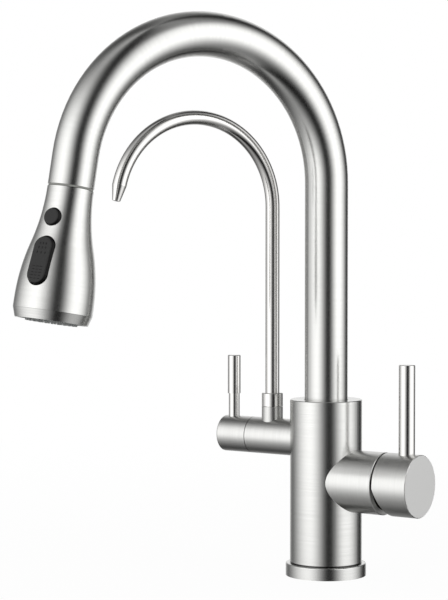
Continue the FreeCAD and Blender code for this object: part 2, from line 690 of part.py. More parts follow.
def mixer_valve():
    """The housing on the column, the brass seat, and a cartridge with two ceramic discs."""
    housing = turned("housing_tube", [
        (MIXER_BORE, "0"), (MIXER_R, "0"), (MIXER_R, f"{HOUSING_END} - edge_break"),
        (f"{MIXER_R} - edge_break", HOUSING_END), (MIXER_BORE, HOUSING_END)], "mixer_frame")
    keep("mixer_housing", carve("mixer_housing", housing, rod("mixer_saddle", "body_diameter", BODY_TOP)))
    plug_r = f"{SEAT_HOLE} - running_fit"
    flange_r = f"{MIXER_BORE} - seat_fit"
    blank = turned("seat_blank", [
        ("0", SEAT_BACK), (plug_r, SEAT_BACK), (plug_r, f"{BODY_R} + seat_fit"),
        (flange_r, f"{BODY_R} + seat_fit"), (flange_r, SEAT_FRONT), ("0", SEAT_FRONT)], "mixer_frame")
    drills, seals = [], []
    seal_floor = f"{SEAT_FRONT} - seal_thickness"
    for name, x, y in seat_ports():
        drills.append(turned(f"seat_{name}_drill", [
            ("0", f"{SEAT_BACK} - overshoot"), (f"{PIPE_SOCKET} / 2", f"{SEAT_BACK} - overshoot"),
            (f"{PIPE_SOCKET} / 2", f"{SEAT_BACK} + pipe_seat"), (f"{PIPE_BORE} / 2", f"{SEAT_BACK} + pipe_seat"),
            (f"{PIPE_BORE} / 2", seal_floor), ("seal_diameter / 2", seal_floor),
            ("seal_diameter / 2", f"{SEAT_FRONT} + overshoot"), ("0", f"{SEAT_FRONT} + overshoot")],
            "mixer_frame", x=x, y=y))
        seals.append(ring(f"{name}_seal", f"{PIPE_BORE} / 2", "seal_diameter / 2 - seat_fit", seal_floor,
                          SEAT_FRONT, "mixer_frame", x=x, y=y))
    keep("valve_seat", carve("valve_seat", blank, *drills))
    keep("seat_seals", group("seat_seals", *seals))
    neck_r = f"{NECK_IN} + neck_wall"
    case = turned("case_blank", [
        ("0", SEAT_FRONT), (CASE_R, SEAT_FRONT), (CASE_R, CASE_SHOULDER), (neck_r, CASE_SHOULDER),
        (neck_r, CASE_END), (NECK_IN, CASE_END), (NECK_IN, CASE_ROOF), (CAVITY_R, CASE_ROOF),
        (CAVITY_R, CASE_FLOOR), ("0", CASE_FLOOR)], "mixer_frame")
    keep("cartridge_case", carve("cartridge_case", case, *port_rods("case", SEAT_FRONT, CASE_FLOOR)))
    disc = rod("disc_blank", f"2 * ({CAVITY_R} - part_gap)", "disc_thickness", "mixer_frame", z=CASE_FLOOR)
    keep("fixed_disc", carve("fixed_disc", disc, *port_rods("disc", CASE_FLOOR, FIXED_TOP)))
    keep("cartridge_nut", ring("cartridge_nut", f"{neck_r} + part_gap", f"{MIXER_BORE} - seat_fit",
                               f"{CASE_SHOULDER} + seat_fit", NUT_TOP, "mixer_frame"))
    disc = rod("moving_blank", "moving_disc_diameter", "disc_thickness", "mixer_frame", z=MOVING_LOW)
    pocket = rod("mixing_hollow", "mixing_pocket", "mixing_pocket_depth", "mixer_frame", z=MOVING_LOW)
    keep("moving_disc", carve("moving_disc", disc, pocket))
    keep("disc_driver", ring("disc_driver", "stem_ball / 2 + 2 * running_fit", "driver_diameter / 2", DRIVER_LOW,
                             DRIVER_TOP, "mixer_frame"))


def mixer_handle():
    """The carrier that turns in the cartridge, the stem that rocks on its pin, and the cap and lever on it."""
    carrier = turned("carrier_blank", [
        ("0", CARRIER_LOW), (f"{CAVITY_R} - part_gap", CARRIER_LOW), (f"{CAVITY_R} - part_gap", CARRIER_STEP),
        ("carrier_neck / 2", CARRIER_STEP), ("carrier_neck / 2", CASE_END), ("0", CASE_END)], "mixer_frame")
    slot_long = "(stem_diameter + 2 * (case_neck + carrier_flange) * tan(lift_angle) + 2 * part_gap)"
    slot_wide = "(stem_diameter + 2 * running_fit)"
    slot = block("carrier_slot", slot_long, slot_wide, f"{CASE_END} - {CARRIER_LOW} + 2 * overshoot",
                 "mixer_frame", x=f"-{slot_long} / 2", y=f"-{slot_wide} / 2", z=f"{CARRIER_LOW} - overshoot")
    across = dict(y="-body_diameter / 2", z=PIVOT, axis=X_AXIS, angle="-90")
    pin_seat = rod("pin_seat", "lever_pin_diameter + 2 * seat_fit", "body_diameter", "mixer_frame", **across)
    keep("lever_carrier", carve("lever_carrier", carrier, slot, pin_seat))
    pin_long = "(carrier_neck - 2 * edge_break)"
    keep("lever_pin", rod("lever_pin", "lever_pin_diameter", pin_long, "mixer_frame", y=f"-{pin_long} / 2",
                          z=PIVOT, axis=X_AXIS, angle="-90"))
    ball, waist = "(stem_ball / 2)", "(stem_waist / 2)"
    ball_top = f"{BALL_Z} + sqrt({ball} ^ 2 - {waist} ^ 2)"
    stem = turned("stem_blank", [
        ("0", f"{BALL_Z} - {ball}"), (waist, ball_top, ball, 1), (waist, f"{CARRIER_LOW} + carrier_flange / 2"),
        ("stem_diameter / 2", CASE_ROOF), ("stem_diameter / 2", f"{STEM_END} - edge_break"),
        ("0", f"{STEM_END} - edge_break")], "mixer_frame")
    bearing = rod("stem_bearing", "lever_pin_diameter + 2 * running_fit", "body_diameter", "mixer_frame", **across)
    keep("mixer_stem", carve("mixer_stem", stem, bearing))
    socket_r = "stem_diameter / 2 + seat_fit"
    cavity_end = f"{CAP_START} + cap_cavity"
    cap = turned("cap_blank", [
        ("0", STEM_END), (socket_r, STEM_END), (socket_r, cavity_end), (f"{MIXER_R} - cap_wall", cavity_end),
        (f"{MIXER_R} - cap_wall", CAP_START), (f"{MIXER_R} - edge_break", CAP_START),
        (MIXER_R, f"{CAP_START} + edge_break"), (MIXER_R, f"{CAP_END} - edge_break"),
        (f"{MIXER_R} - edge_break", CAP_END), ("0", CAP_END)], "mixer_frame")
    frame("wedge_frame", "mixer_frame", z=CAP_START, axis=Y_AXIS, angle="-lift_angle")
    wedge = block("cap_wedge", "body_diameter", "body_diameter", "cap_length", "wedge_frame",
                  y="-body_diameter / 2", z="-cap_length")
    up = dict(axis=Y_AXIS, angle="-90")
    down = dict(axis=Y_AXIS, angle="90")
    lever_z = f"{CAP_START} + lever_at"
    screw_z = f"{CAP_START} + mixer_screw_at"
    lever_hole = rod("lever_hole", "lever_diameter + 2 * seat_fit", "body_diameter", "mixer_frame",
                     x="-lever_root", z=lever_z, **up)
    screw_hole = rod("mixer_screw_hole", "mixer_screw_diameter + 2 * seat_fit", "body_diameter", "mixer_frame",
                     z=screw_z, **down)
    plug_floor = f"{MIXER_R} - edge_break - plug_thickness"
    plug_hole = rod("plug_hole", "plug_diameter + 2 * seat_fit", "body_diameter", "mixer_frame", x=plug_floor,
                    z=screw_z, **down)
    keep("mixer_cap", carve("mixer_cap", cap, wedge, lever_hole, screw_hole, plug_hole))
    lever_r = "lever_diameter / 2"
    keep("mixer_lever", turned("mixer_lever", [
        ("0", "lever_root"), (lever_r, "lever_root"), (lever_r, "lever_top - edge_break"),
        (f"{lever_r} - edge_break", "lever_top"), ("0", "lever_top")], "mixer_frame", z=lever_z, **up))
    keep("mixer_screw", ring_screw("mixer_screw", "mixer_screw_diameter", "stem_diameter / 2",
                                   f"{plug_floor} - part_gap", "mixer_frame", z=screw_z, **down))
    keep("mixer_plug", rod("mixer_plug", "plug_diameter", "plug_thickness", "mixer_frame", x=plug_floor, z=screw_z,
                           **down))


# Along the filter's axis, from the column outwards
FILTER_R = "(filter_diameter / 2)"
FILTER_PIPE_END = f"({BODY_R} + pipe_seat)"
CAVITY_FLOOR = "(filter_offset - cavity_back)"
NOSE_START = f"({CAVITY_FLOOR} + washer_thickness)"
THREAD_START = "(filter_offset + nose_reach)"
ARM_END = f"({THREAD_START} + thread_length)"
FILTER_FIXED = f"({NOSE_START} + seat_fit)"
FILTER_MOVING = f"({FILTER_FIXED} + filter_disc_thickness + running_fit)"
FILTER_DRIVER = f"({FILTER_MOVING} + filter_disc_thickness)"
CHAMBER_END = f"({FILTER_DRIVER} + filter_driver_height + running_fit)"
FILTER_CAP = f"({ARM_END} + filter_cap_gap)"
FILTER_END = f"({FILTER_CAP} + filter_cap_length)"
BOSS_TOP = f"({FILTER_Z} + boss_height)"
BOSS_BORE = "(spigot_diameter / 2 + 2 * running_fit)"
RETAINER_Z = f"({BOSS_TOP} - retainer_drop)"


def filter_valve():
    """The arm with its riser boss, and a quarter-turn headwork with two ceramic discs."""
    inlet = f"{PIPE_BORE} / 2"
    arm = turned("arm_tube", [
        (f"{PIPE_SOCKET} / 2", "0"), (FILTER_R, "0"), (FILTER_R, ARM_END), ("cavity_bore / 2", ARM_END),
        ("cavity_bore / 2", CAVITY_FLOOR), (inlet, CAVITY_FLOOR), (inlet, FILTER_PIPE_END),
        (f"{PIPE_SOCKET} / 2", FILTER_PIPE_END)], "filter_frame")
    boss_low = f"{FILTER_Z} + cavity_bore / 2 + boss_root"
    boss = rod("riser_boss", "boss_diameter", f"{BOSS_TOP} - ({boss_low})", x="-filter_offset", z=boss_low)
    bore = rod("boss_bore", f"2 * {BOSS_BORE}", "boss_height", x="-filter_offset", z=f"{FILTER_Z} + overshoot")
    retainer_hole = rod("retainer_hole", "retainer_diameter + 2 * seat_fit", "boss_diameter", x="-filter_offset",
                        z=RETAINER_Z, **TO_BACK)
    saddle = rod("filter_saddle", "body_diameter", BODY_TOP)
    keep("filter_arm", carve("filter_arm", join("filter_arm", arm, boss), saddle, bore, retainer_hole))
    keep("filter_retainer", ring_screw(
        "filter_retainer", "retainer_diameter", "spigot_diameter / 2 - ring_depth + part_gap",
        "boss_diameter / 2 - edge_break", x="-filter_offset", z=RETAINER_Z, **TO_BACK))
    keep("filter_washer", ring("filter_washer", inlet, "nose_diameter / 2", CAVITY_FLOOR, NOSE_START,
                               "filter_frame"))
    thread_r = "cavity_bore / 2 - seat_fit"
    stem_in = "filter_stem_diameter / 2 + running_fit"
    cartridge = turned("headwork_blank", [
        ("chamber_bore / 2", NOSE_START), ("nose_diameter / 2", NOSE_START), ("nose_diameter / 2", THREAD_START),
        (thread_r, THREAD_START), (thread_r, ARM_END), (stem_in, ARM_END), (stem_in, CHAMBER_END),
        ("chamber_bore / 2", CHAMBER_END)], "filter_frame")
    windows = rod("headwork_windows", "window_diameter", "filter_diameter", "filter_frame",
                  x="-filter_diameter / 2", z="filter_offset", axis=Y_AXIS, angle="90")
    keep("filter_cartridge", carve("filter_cartridge", cartridge, windows))
    disc_d = "(chamber_bore - 2 * running_fit)"
    discs = (("filter_fixed_disc", FILTER_FIXED, "1"), ("filter_moving_disc", FILTER_MOVING, "-1"))
    for name, level, turn in discs:
        blank = rod(name + "_blank", disc_d, "filter_disc_thickness", "filter_frame", z=level)
        port = rod(name + "_port", "filter_port", "filter_disc_thickness + 2 * overshoot", "filter_frame",
                   y=f"{turn} * filter_port_at", z=f"{level} - overshoot")
        keep(name, carve(name, blank, port))


def filter_handle():
    stem_r = "filter_stem_diameter / 2"
    stem_top = f"{FILTER_CAP} + filter_grip"
    driver_r = "filter_driver / 2"
    driver_top = f"{FILTER_DRIVER} + filter_driver_height"
    keep("filter_stem", turned("filter_stem", [
        ("0", FILTER_DRIVER), (driver_r, FILTER_DRIVER), (driver_r, driver_top), (stem_r, driver_top),
        (stem_r, f"{stem_top} - edge_break"), ("0", f"{stem_top} - edge_break")], "filter_frame"))
    socket_r = f"{stem_r} + seat_fit"
    cap = turned("filter_cap_blank", [
        ("0", stem_top), (socket_r, stem_top), (socket_r, FILTER_CAP), (FILTER_R, FILTER_CAP),
        (FILTER_R, f"{FILTER_END} - filter_cap_round"),
        (f"{FILTER_R} - filter_cap_round", FILTER_END, "filter_cap_round", 1), ("0", FILTER_END)], "filter_frame")
    up = dict(axis=Y_AXIS, angle="90")
    down = dict(axis=Y_AXIS, angle="-90")
    lever_z = f"{FILTER_CAP} + filter_lever_at"
    screw_z = f"{FILTER_CAP} + filter_screw_at"
    lever_hole = rod("filter_lever_hole", "filter_lever_diameter + 2 * seat_fit", "filter_diameter",
                     "filter_frame", x="filter_lever_root", z=lever_z, **up)
    screw_hole = rod("filter_screw_hole", "filter_screw_diameter + 2 * seat_fit", "filter_diameter",
                     "filter_frame", z=screw_z, **down)
    keep("filter_cap", carve("filter_cap", cap, lever_hole, screw_hole))
    slim, grip = "filter_lever_diameter / 2", "filter_grip_diameter / 2"
    keep("filter_lever", turned("filter_lever", [
        ("0", "filter_lever_root"), (slim, "filter_lever_root"), (slim, "filter_lever_neck"),
        (grip, "filter_lever_neck"), (grip, "filter_lever_top - edge_break"),
        (f"{grip} - edge_break", "filter_lever_top"), ("0", "filter_lever_top")],
        "filter_frame", z=lever_z, **up))
    keep("filter_screw", ring_screw("filter_screw", "filter_screw_diameter", stem_r, f"{FILTER_R} - edge_break",
                                    "filter_frame", z=screw_z, **down))


def filter_spout():
    """The small gooseneck: a collar with two O-rings in the boss, the bent tube and its tapered tip."""
    spigot_r = "spigot_diameter / 2"
    groove_r = f"{spigot_r} - ring_depth"
    collar_low = f"{BOSS_TOP} + collar_gap"
    collar_top = f"{collar_low} + collar_height"
    tube_bottom = f"{collar_low} + tube_stop"
    tube_r = "filter_tube_diameter / 2"
    grooves = []
    for drop in ("ring_first", "ring_second"):
        low, high = f"{BOSS_TOP} - {drop} - ring_groove", f"{BOSS_TOP} - {drop}"
        grooves += [(spigot_r, low), (groove_r, low), (groove_r, high), (spigot_r, high)]
    keeper_low = f"{RETAINER_Z} - retainer_diameter / 2 - 2 * running_fit"
    keeper_high = f"{RETAINER_Z} + retainer_diameter / 2 + 2 * running_fit"
    grooves += [(spigot_r, keeper_low), (groove_r, keeper_low), (groove_r, keeper_high), (spigot_r, keeper_high)]
    spigot_low = f"{BOSS_TOP} - spigot_length"
    collar_r = "boss_diameter / 2"
    keep("filter_collar", turned("filter_collar", [
        ("spigot_bore / 2", spigot_low), (spigot_r, spigot_low), *grooves, (spigot_r, collar_low),
        (collar_r, collar_low), (collar_r, f"{collar_top} - edge_break"), (f"{collar_r} - edge_break", collar_top),
        (f"{tube_r} + seat_fit", collar_top), (f"{tube_r} + seat_fit", tube_bottom),
        ("spigot_bore / 2", tube_bottom)], "filter_riser"))
    rings = []
    section = f"({BOSS_BORE} - running_fit - ({groove_r})) / 2"
    for drop in ("ring_first", "ring_second"):
        torus = doc.addObject("Part::Torus", drop + "_o_ring")
        torus.setExpression("Radius1", bound(f"{groove_r} + {section}"))
        torus.setExpression("Radius2", bound(section))
        rings.append(put(torus, "filter_riser", z=f"{BOSS_TOP} - {drop} - ring_groove / 2"))
    keep("filter_o_rings", group("filter_o_rings", *rings))
    route = half_arch(f"{tube_bottom} + seat_fit", "filter_arch_height", "filter_arch", "filter_sweep")
    keep("filter_tube", piped("filter_tube", route, "filter_tube_diameter", "filter_tube_wall", "filter_riser"))
    tip_plug = f"{tube_r} - filter_tube_wall - seat_fit - tip_spigot ^ 2 / (2 * filter_arch)"
    keep("filter_tip", turned("filter_tip", [
        ("tip_bore / 2", "-tip_spigot"), (tip_plug, "-tip_spigot"), (tip_plug, "0"), (tube_r, "0"),
        ("tip_diameter / 2", "tip_length"), ("tip_bore / 2", "tip_length")], "filter_outlet"))


# Along the spray head's axis: 0 is its top face, and the outlet is at head_length
NUT_ABOVE = "(-swivel_nut_above)"
STEM_FLANGE = f"({NUT_ABOVE} + swivel_nut_lip + 2 * running_fit)"
NUT_STEP = "(-part_gap)"
NUT_END = f"({NUT_STEP} + swivel_thread_length)"
SWIVEL_IN = "(hose_stem_flange / 2 + 2 * running_fit)"
BAND_TOP = "(head_length - head_band)"
PLATE_END = "(head_length - plate_recess)"
PLATE_START = f"({PLATE_END} - plate_thickness)"
MAT_START = f"({PLATE_START} - mat_thickness)"
LIP_R = "(rim_diameter / 2 - head_wall)"
CORE_R = "(core_diameter / 2)"
FUNNEL_END = "(head_length - chamber_length)"
FUNNEL = f"({FUNNEL_END} - funnel_length)"


def hose_end():
    """The crimped end of the hose, whose flange turns inside the head's swivel nut."""
    hose_low = f"-{HOSE_END} - ferrule_length"
    hose_stop = f"-{HOSE_END}"
    ferrule_in = "hose_diameter / 2 + running_fit"
    neck = "hose_stem_neck / 2"
    barb = "hose_diameter / 2 - hose_wall - running_fit"
    ferrule_end = f"{hose_stop} + ferrule_lip"
    keep("hose_ferrule", turned("hose_ferrule", [
        (ferrule_in, hose_low), (f"{ferrule_in} + ferrule_wall", hose_low),
        (f"{ferrule_in} + ferrule_wall", ferrule_end), (f"{neck} + seat_fit", ferrule_end),
        (f"{neck} + seat_fit", f"{hose_stop} + seat_fit"), (ferrule_in, f"{hose_stop} + seat_fit")],
        "head_frame"))
    bore = "hose_stem_bore / 2"
    flange_end = f"{STEM_FLANGE} + hose_stem_flange_height"
    keep("hose_stem", turned("hose_stem", [
        (bore, hose_low), (barb, hose_low), (barb, f"{hose_stop} + seat_fit"), (neck, f"{hose_stop} + seat_fit"),
        (neck, STEM_FLANGE), ("hose_stem_flange / 2", STEM_FLANGE), ("hose_stem_flange / 2", flange_end),
        (bore, flange_end)], "head_frame"))
    thread_r = "swivel_thread / 2"
    nut_r = "swivel_nut_diameter / 2"
    neck_hole = f"{neck} + 2 * running_fit"
    keep("swivel_nut", turned("swivel_nut", [
        (neck_hole, NUT_ABOVE), (nut_r, NUT_ABOVE), (nut_r, f"{NUT_STEP} - part_gap"),
        (thread_r, f"{NUT_STEP} - part_gap"), (thread_r, NUT_END), (SWIVEL_IN, NUT_END),
        (SWIVEL_IN, f"{NUT_ABOVE} + swivel_nut_lip"), (neck_hole, f"{NUT_ABOVE} + swivel_nut_lip")], "head_frame"))
    keep("check_valve", ring("check_valve", "valve_bore / 2", f"{SWIVEL_IN} - seat_fit",
                             f"{flange_end} + part_gap", f"{NUT_END} - seat_fit", "head_frame"))


def stadium(length, width):
    """A slot-shaped outline along X, its round ends drawn as quarter arcs."""
    long, half = f"({length} - {width}) / 2", f"{width} / 2"
    tip = f"{length} / 2"
    return [(f"-({long})", f"-({half})", half, 1), (long, f"-({half})"), (tip, "0", half, 1),
            (long, half, half, 1), (f"-({long})", half), (f"-({tip})", "0", half, 1)]


ARM_REACH = f"(({ROCKER_R} - spool_waist / 2 - 2 * part_gap) / {ROCKER_COS})"
SPOOL_MID = f"(rocker_at + ({ROCKER_R} - (core_bore + spool_waist) / 4) / {ROCKER_COS} * {ROCKER_SLOPE})"


def head_body():
    """The shell, the plastic core that carries the water, and the face with its nozzles and aerator."""
    nose_r = "swivel_nut_diameter / 2 + 2 * seat_fit"
    hole = f"{nose_r} + part_gap"
    rim = "rim_diameter / 2"
    widest = "head_diameter / 2"
    middle_r = f"({SPOUT_R} + {widest}) / 2"
    middle_z = f"{SWELL} / 2"
    inner_top = f"{SPOUT_R} - head_wall + {SWELL_R} - sqrt({SWELL_R} ^ 2 - head_wall ^ 2)"
    shell = turned("shell_blank", [
        (hole, "0"), (SPOUT_R, "0"), (middle_r, middle_z, SWELL_R, -1), (widest, SWELL, SWELL_R, 1),
        (widest, f"{BAND_TOP} - 2 * band_step"), (f"{widest} - band_step", BAND_TOP), (rim, "head_length"),
        (LIP_R, "head_length"), (LIP_R, "head_length - lip_height"), (f"{widest} - head_wall", SWELL),
        (f"{middle_r} - head_wall", middle_z, SWELL_R, -1), (inner_top, "head_wall", SWELL_R, 1),
        (hole, "head_wall")], "head_frame")
    button_hole = rod("button_hole", "button_diameter + 2 * part_gap", "2 * (button_inset + button_proud)",
                      "button_frame", z="-button_inset - button_proud")
    slot_deep = "(rocker_inset + rocker_proud)"
    slot = padded("rocker_slot", stadium("(rocker_length + 2 * rocker_play)", "(rocker_width + 2 * part_gap)"),
                  f"2 * {slot_deep}", "rocker_frame", z=f"-{slot_deep}")
    keep("head_shell", carve("head_shell", shell, button_hole, slot))

    socket_r = "swivel_thread / 2 + seat_fit"
    collar_low = "head_wall + part_gap"
    collar_end = f"{collar_low} + core_collar_height"
    chamber = f"{LIP_R} - part_gap"
    core = turned("core_blank", [
        (socket_r, NUT_STEP), (nose_r, NUT_STEP), (nose_r, collar_low), ("core_collar / 2", collar_low),
        ("core_collar / 2", collar_end), (nose_r, collar_end), (nose_r, f"{NUT_END} + head_wall"),
        (CORE_R, f"{NUT_END} + head_wall"), (CORE_R, FUNNEL), (chamber, FUNNEL_END),
        (chamber, MAT_START), (f"{chamber} - head_wall", MAT_START),
        (f"{chamber} - head_wall", f"{FUNNEL_END} + head_wall"), ("core_bore / 2", f"{FUNNEL} + head_wall"),
        ("core_bore / 2", f"{NUT_END} + seat_fit"), (socket_r, f"{NUT_END} + seat_fit")], "head_frame")
    ear_low = f"({ROCKER_R} - {CORE_R} + ear_root) / {ROCKER_COS}"
    ear_height = f"{ear_low} - ear_top"
    ear_in = "lug_width / 2 + part_gap"
    ears = [block(f"{side}_ear", "ear_length", "ear_thickness", ear_height, "rocker_frame", x="-ear_length / 2",
                  y=place, z=f"-({ear_low})")
            for side, place in (("left", ear_in), ("right", f"-({ear_in}) - ear_thickness"))]
    pin_long = f"2 * ({ear_in} + ear_thickness)"
    across = dict(z="-rocker_pin_depth", axis=X_AXIS, angle="-90")
    pin_seat = rod("rocker_pin_seat", "rocker_pin_diameter + 2 * seat_fit", "rocker_length", "rocker_frame",
                   y="-rocker_length / 2", **across)
    arm_at = f"{SPOOL_MID} - (core_diameter - spool_waist) / 4 * {ROCKER_SLOPE} / {ROCKER_COS}"
    arm_slot = block("arm_slot", "arm_swing", "arm_diameter + 2 * part_gap", "core_diameter", "head_frame",
                     z=f"{arm_at} - arm_swing / 2",
                     y="-arm_diameter / 2 - part_gap", x="core_diameter", axis=Y_AXIS, angle="-90")
    plunger_hole = rod("plunger_hole", "plunger_diameter + 2 * running_fit", "core_diameter", "button_frame",
                       z=f"-{BUTTON_R}")
    keep("head_core", carve("head_core", join("head_core", core, *ears), pin_seat, arm_slot, plunger_hole))
    keep("rocker_pin", rod("rocker_pin", "rocker_pin_diameter", pin_long, "rocker_frame", y=f"-{pin_long} / 2",
                           **across))

    opening = "aerator_diameter / 2 + 2 * seat_fit"
    mat = ring("nozzle_mat", opening, chamber, MAT_START, PLATE_START, "head_frame")
    plate = ring("spray_plate", opening, f"{LIP_R} - seat_fit", PLATE_START, PLATE_END, "head_frame")
    for where in ("outer", "inner"):
        circle, count = f"nozzle_{where}_circle", f"nozzle_{where}_count"
        circle_of(mat, f"{where}_nozzles", "Pad", "nozzle_diameter", circle, count, PLATE_START,
                  f"head_length + nozzle_proud - {PLATE_START}")
        circle_of(plate, f"{where}_nozzle_holes", "Pocket", "nozzle_diameter + 2 * part_gap", circle, count,
                  PLATE_END, "plate_thickness")
    keep("nozzle_mat", mat)
    keep("spray_plate", plate)
    wall_r = "aerator_diameter / 2 - aerator_wall"
    grid_top = f"{PLATE_END} - plate_recess"
    aerator = turned("aerator", [
        ("0", f"{grid_top} - aerator_grid"), (wall_r, f"{grid_top} - aerator_grid"),
        (wall_r, f"{PLATE_END} - aerator_height"), ("aerator_diameter / 2", f"{PLATE_END} - aerator_height"),
        ("aerator_diameter / 2", PLATE_END), (wall_r, PLATE_END), (wall_r, grid_top), ("0", grid_top)],
        "head_frame")
    for where in ("outer", "inner"):
        circle_of(aerator, f"{where}_grid", "Pocket", "grid_hole", f"grid_{where}_circle", f"grid_{where}_count",
                  grid_top, "aerator_grid")
    keep("aerator", aerator)


def head_controls():
    """The round push button with its return spring, and the rocker that moves the diverter spool."""
    button_r = "button_diameter / 2"
    flange_low = "-button_inset - button_flange_height"
    plunger_r = "plunger_diameter / 2"
    core_face = f"({BUTTON_R} - {CORE_R}) / {BUTTON_COS}"
    plunger_end = f"-({core_face}) - plunger_reach"
    keep("round_button", turned("round_button", [
        ("0", plunger_end), (plunger_r, plunger_end), (plunger_r, flange_low), ("button_flange / 2", flange_low),
        ("button_flange / 2", "-button_inset"), (button_r, "-button_inset"),
        (button_r, "button_proud - button_round"),
        (f"{button_r} - button_round", "button_proud", "button_round", 1), ("0", "button_proud")],
        "button_frame"))
    spring_r = "spring_diameter / 2"
    keep("button_spring", ring("button_spring", f"{spring_r} - spring_wall", spring_r,
                               f"spring_clear - {core_face}", f"{flange_low} - running_fit", "button_frame"))
    rocker_height = "(rocker_inset + rocker_proud)"
    pad = padded("rocker_pad", stadium("rocker_length", "rocker_width"), rocker_height, "rocker_frame",
                 z="-rocker_inset")
    doc.recompute()
    plain = pad.Tip
    top = value(rocker_height)
    rim = [f"Edge{number}" for number, edge in enumerate(plain.Shape.Edges, start=1)
           if all(abs(vertex.Z - top) < 1e-6 for vertex in edge.Vertexes)]
    rounding = pad.newObject("PartDesign::Fillet", "rocker_rounding")
    rounding.Base = (plain, rim)
    rounding.setExpression("Radius", bound("rocker_round"))
    lug = block("rocker_lug", "lug_length", "lug_width", "lug_depth - rocker_inset", "rocker_frame",
                x="-lug_length / 2", y="-lug_width / 2", z="-lug_depth")
    arm = rod("rocker_arm", "arm_diameter", f"{ARM_REACH} - rocker_inset", "rocker_frame", z=f"-{ARM_REACH}")
    bearing = rod("rocker_bearing", "rocker_pin_diameter + 2 * running_fit", "rocker_length", "rocker_frame",
                  y="-rocker_length / 2", z="-rocker_pin_depth", axis=X_AXIS, angle="-90")
    keep("mode_rocker", carve("mode_rocker", join("mode_rocker", pad, lug, arm), bearing))
    spool_r = "core_bore / 2 - running_fit"
    waist = "spool_waist / 2"
    low, high = f"{SPOOL_MID} - spool_length / 2", f"{SPOOL_MID} + spool_length / 2"
    groove_low, groove_high = f"{SPOOL_MID} - spool_groove / 2", f"{SPOOL_MID} + spool_groove / 2"
    keep("diverter_spool", turned("diverter_spool", [
        ("0", low), (spool_r, low), (spool_r, groove_low), (waist, groove_low), (waist, groove_high),
        (spool_r, groove_high), (spool_r, high), ("0", high)], "head_frame"))


base_and_column()
waterways()
spout_bearing()
spout()
mixer_valve()
mixer_handle()
filter_valve()
filter_handle()
filter_spout()
hose_end()
head_body()
head_controls()
doc.recompute()

faults = [f"{obj.Name} {obj.State}" for obj in doc.Objects if {"Invalid", "Error"} & set(obj.State)]
for piece in pieces:
    if piece.Shape.isNull() or not piece.Shape.isValid() or not piece.Shape.Solids:
        faults.append(f"{piece.Label} has no sound shape")
if faults:
    raise RuntimeError("; ".join(faults))
os.makedirs("parts", exist_ok=True)
for piece in pieces:
    piece.Shape.exportStep(f"parts/{piece.Label}.step")
    print(piece.Label, len(piece.Shape.Solids), f"{piece.Shape.Volume:.1f} mm3")
print(len(pieces), "pieces")
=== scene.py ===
# %% [markdown]
# A three-way kitchen faucet
# The faucet gives mixed hot and cold water from a pull-down spray head, and filtered water from a small spout of
# its own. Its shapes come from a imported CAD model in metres. This lesson gives them their finishes, adds the pieces
# that are soft or too small for the CAD model, and lights them as a product photograph does.

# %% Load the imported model
import json
import math

import bmesh
import bpy
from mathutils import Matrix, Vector


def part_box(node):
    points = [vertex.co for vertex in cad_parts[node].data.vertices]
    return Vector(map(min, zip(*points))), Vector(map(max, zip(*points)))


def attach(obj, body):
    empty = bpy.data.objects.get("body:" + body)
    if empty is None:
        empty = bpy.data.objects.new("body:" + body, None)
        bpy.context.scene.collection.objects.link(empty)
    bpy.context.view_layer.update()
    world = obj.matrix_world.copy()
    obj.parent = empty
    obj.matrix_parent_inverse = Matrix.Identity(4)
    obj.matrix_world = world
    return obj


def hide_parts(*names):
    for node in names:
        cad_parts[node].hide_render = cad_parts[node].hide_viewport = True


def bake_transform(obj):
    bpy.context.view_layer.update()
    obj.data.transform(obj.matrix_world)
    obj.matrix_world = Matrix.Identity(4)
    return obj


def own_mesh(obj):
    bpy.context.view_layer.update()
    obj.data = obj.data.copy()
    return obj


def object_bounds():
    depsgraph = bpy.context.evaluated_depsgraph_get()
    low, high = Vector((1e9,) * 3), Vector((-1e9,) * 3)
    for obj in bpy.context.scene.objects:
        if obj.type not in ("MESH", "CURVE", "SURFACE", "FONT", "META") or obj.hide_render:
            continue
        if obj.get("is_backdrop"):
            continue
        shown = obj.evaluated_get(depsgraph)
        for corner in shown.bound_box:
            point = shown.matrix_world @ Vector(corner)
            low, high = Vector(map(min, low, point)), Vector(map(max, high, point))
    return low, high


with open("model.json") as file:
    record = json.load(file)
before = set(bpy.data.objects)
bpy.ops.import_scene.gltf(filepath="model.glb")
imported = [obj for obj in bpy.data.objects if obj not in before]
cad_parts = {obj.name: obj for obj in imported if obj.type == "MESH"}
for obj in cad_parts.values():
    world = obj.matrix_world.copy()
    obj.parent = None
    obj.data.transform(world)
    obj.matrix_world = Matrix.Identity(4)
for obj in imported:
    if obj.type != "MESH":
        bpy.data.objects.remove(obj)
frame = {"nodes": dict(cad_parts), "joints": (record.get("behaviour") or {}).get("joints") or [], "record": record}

MM = 0.001
scene = bpy.context.scene
nodes = frame["nodes"]
joints = {joint["name"]: joint for joint in frame["joints"]}
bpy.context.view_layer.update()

# %% [markdown]
# The camera stands a good stride away, a little above the middle of the faucet and to its right, with a long lens.
# Its place could be found by trial. Here it was fitted to the outlines of the photograph, so the picture and the
# model agree to about a quarter of a pixel.

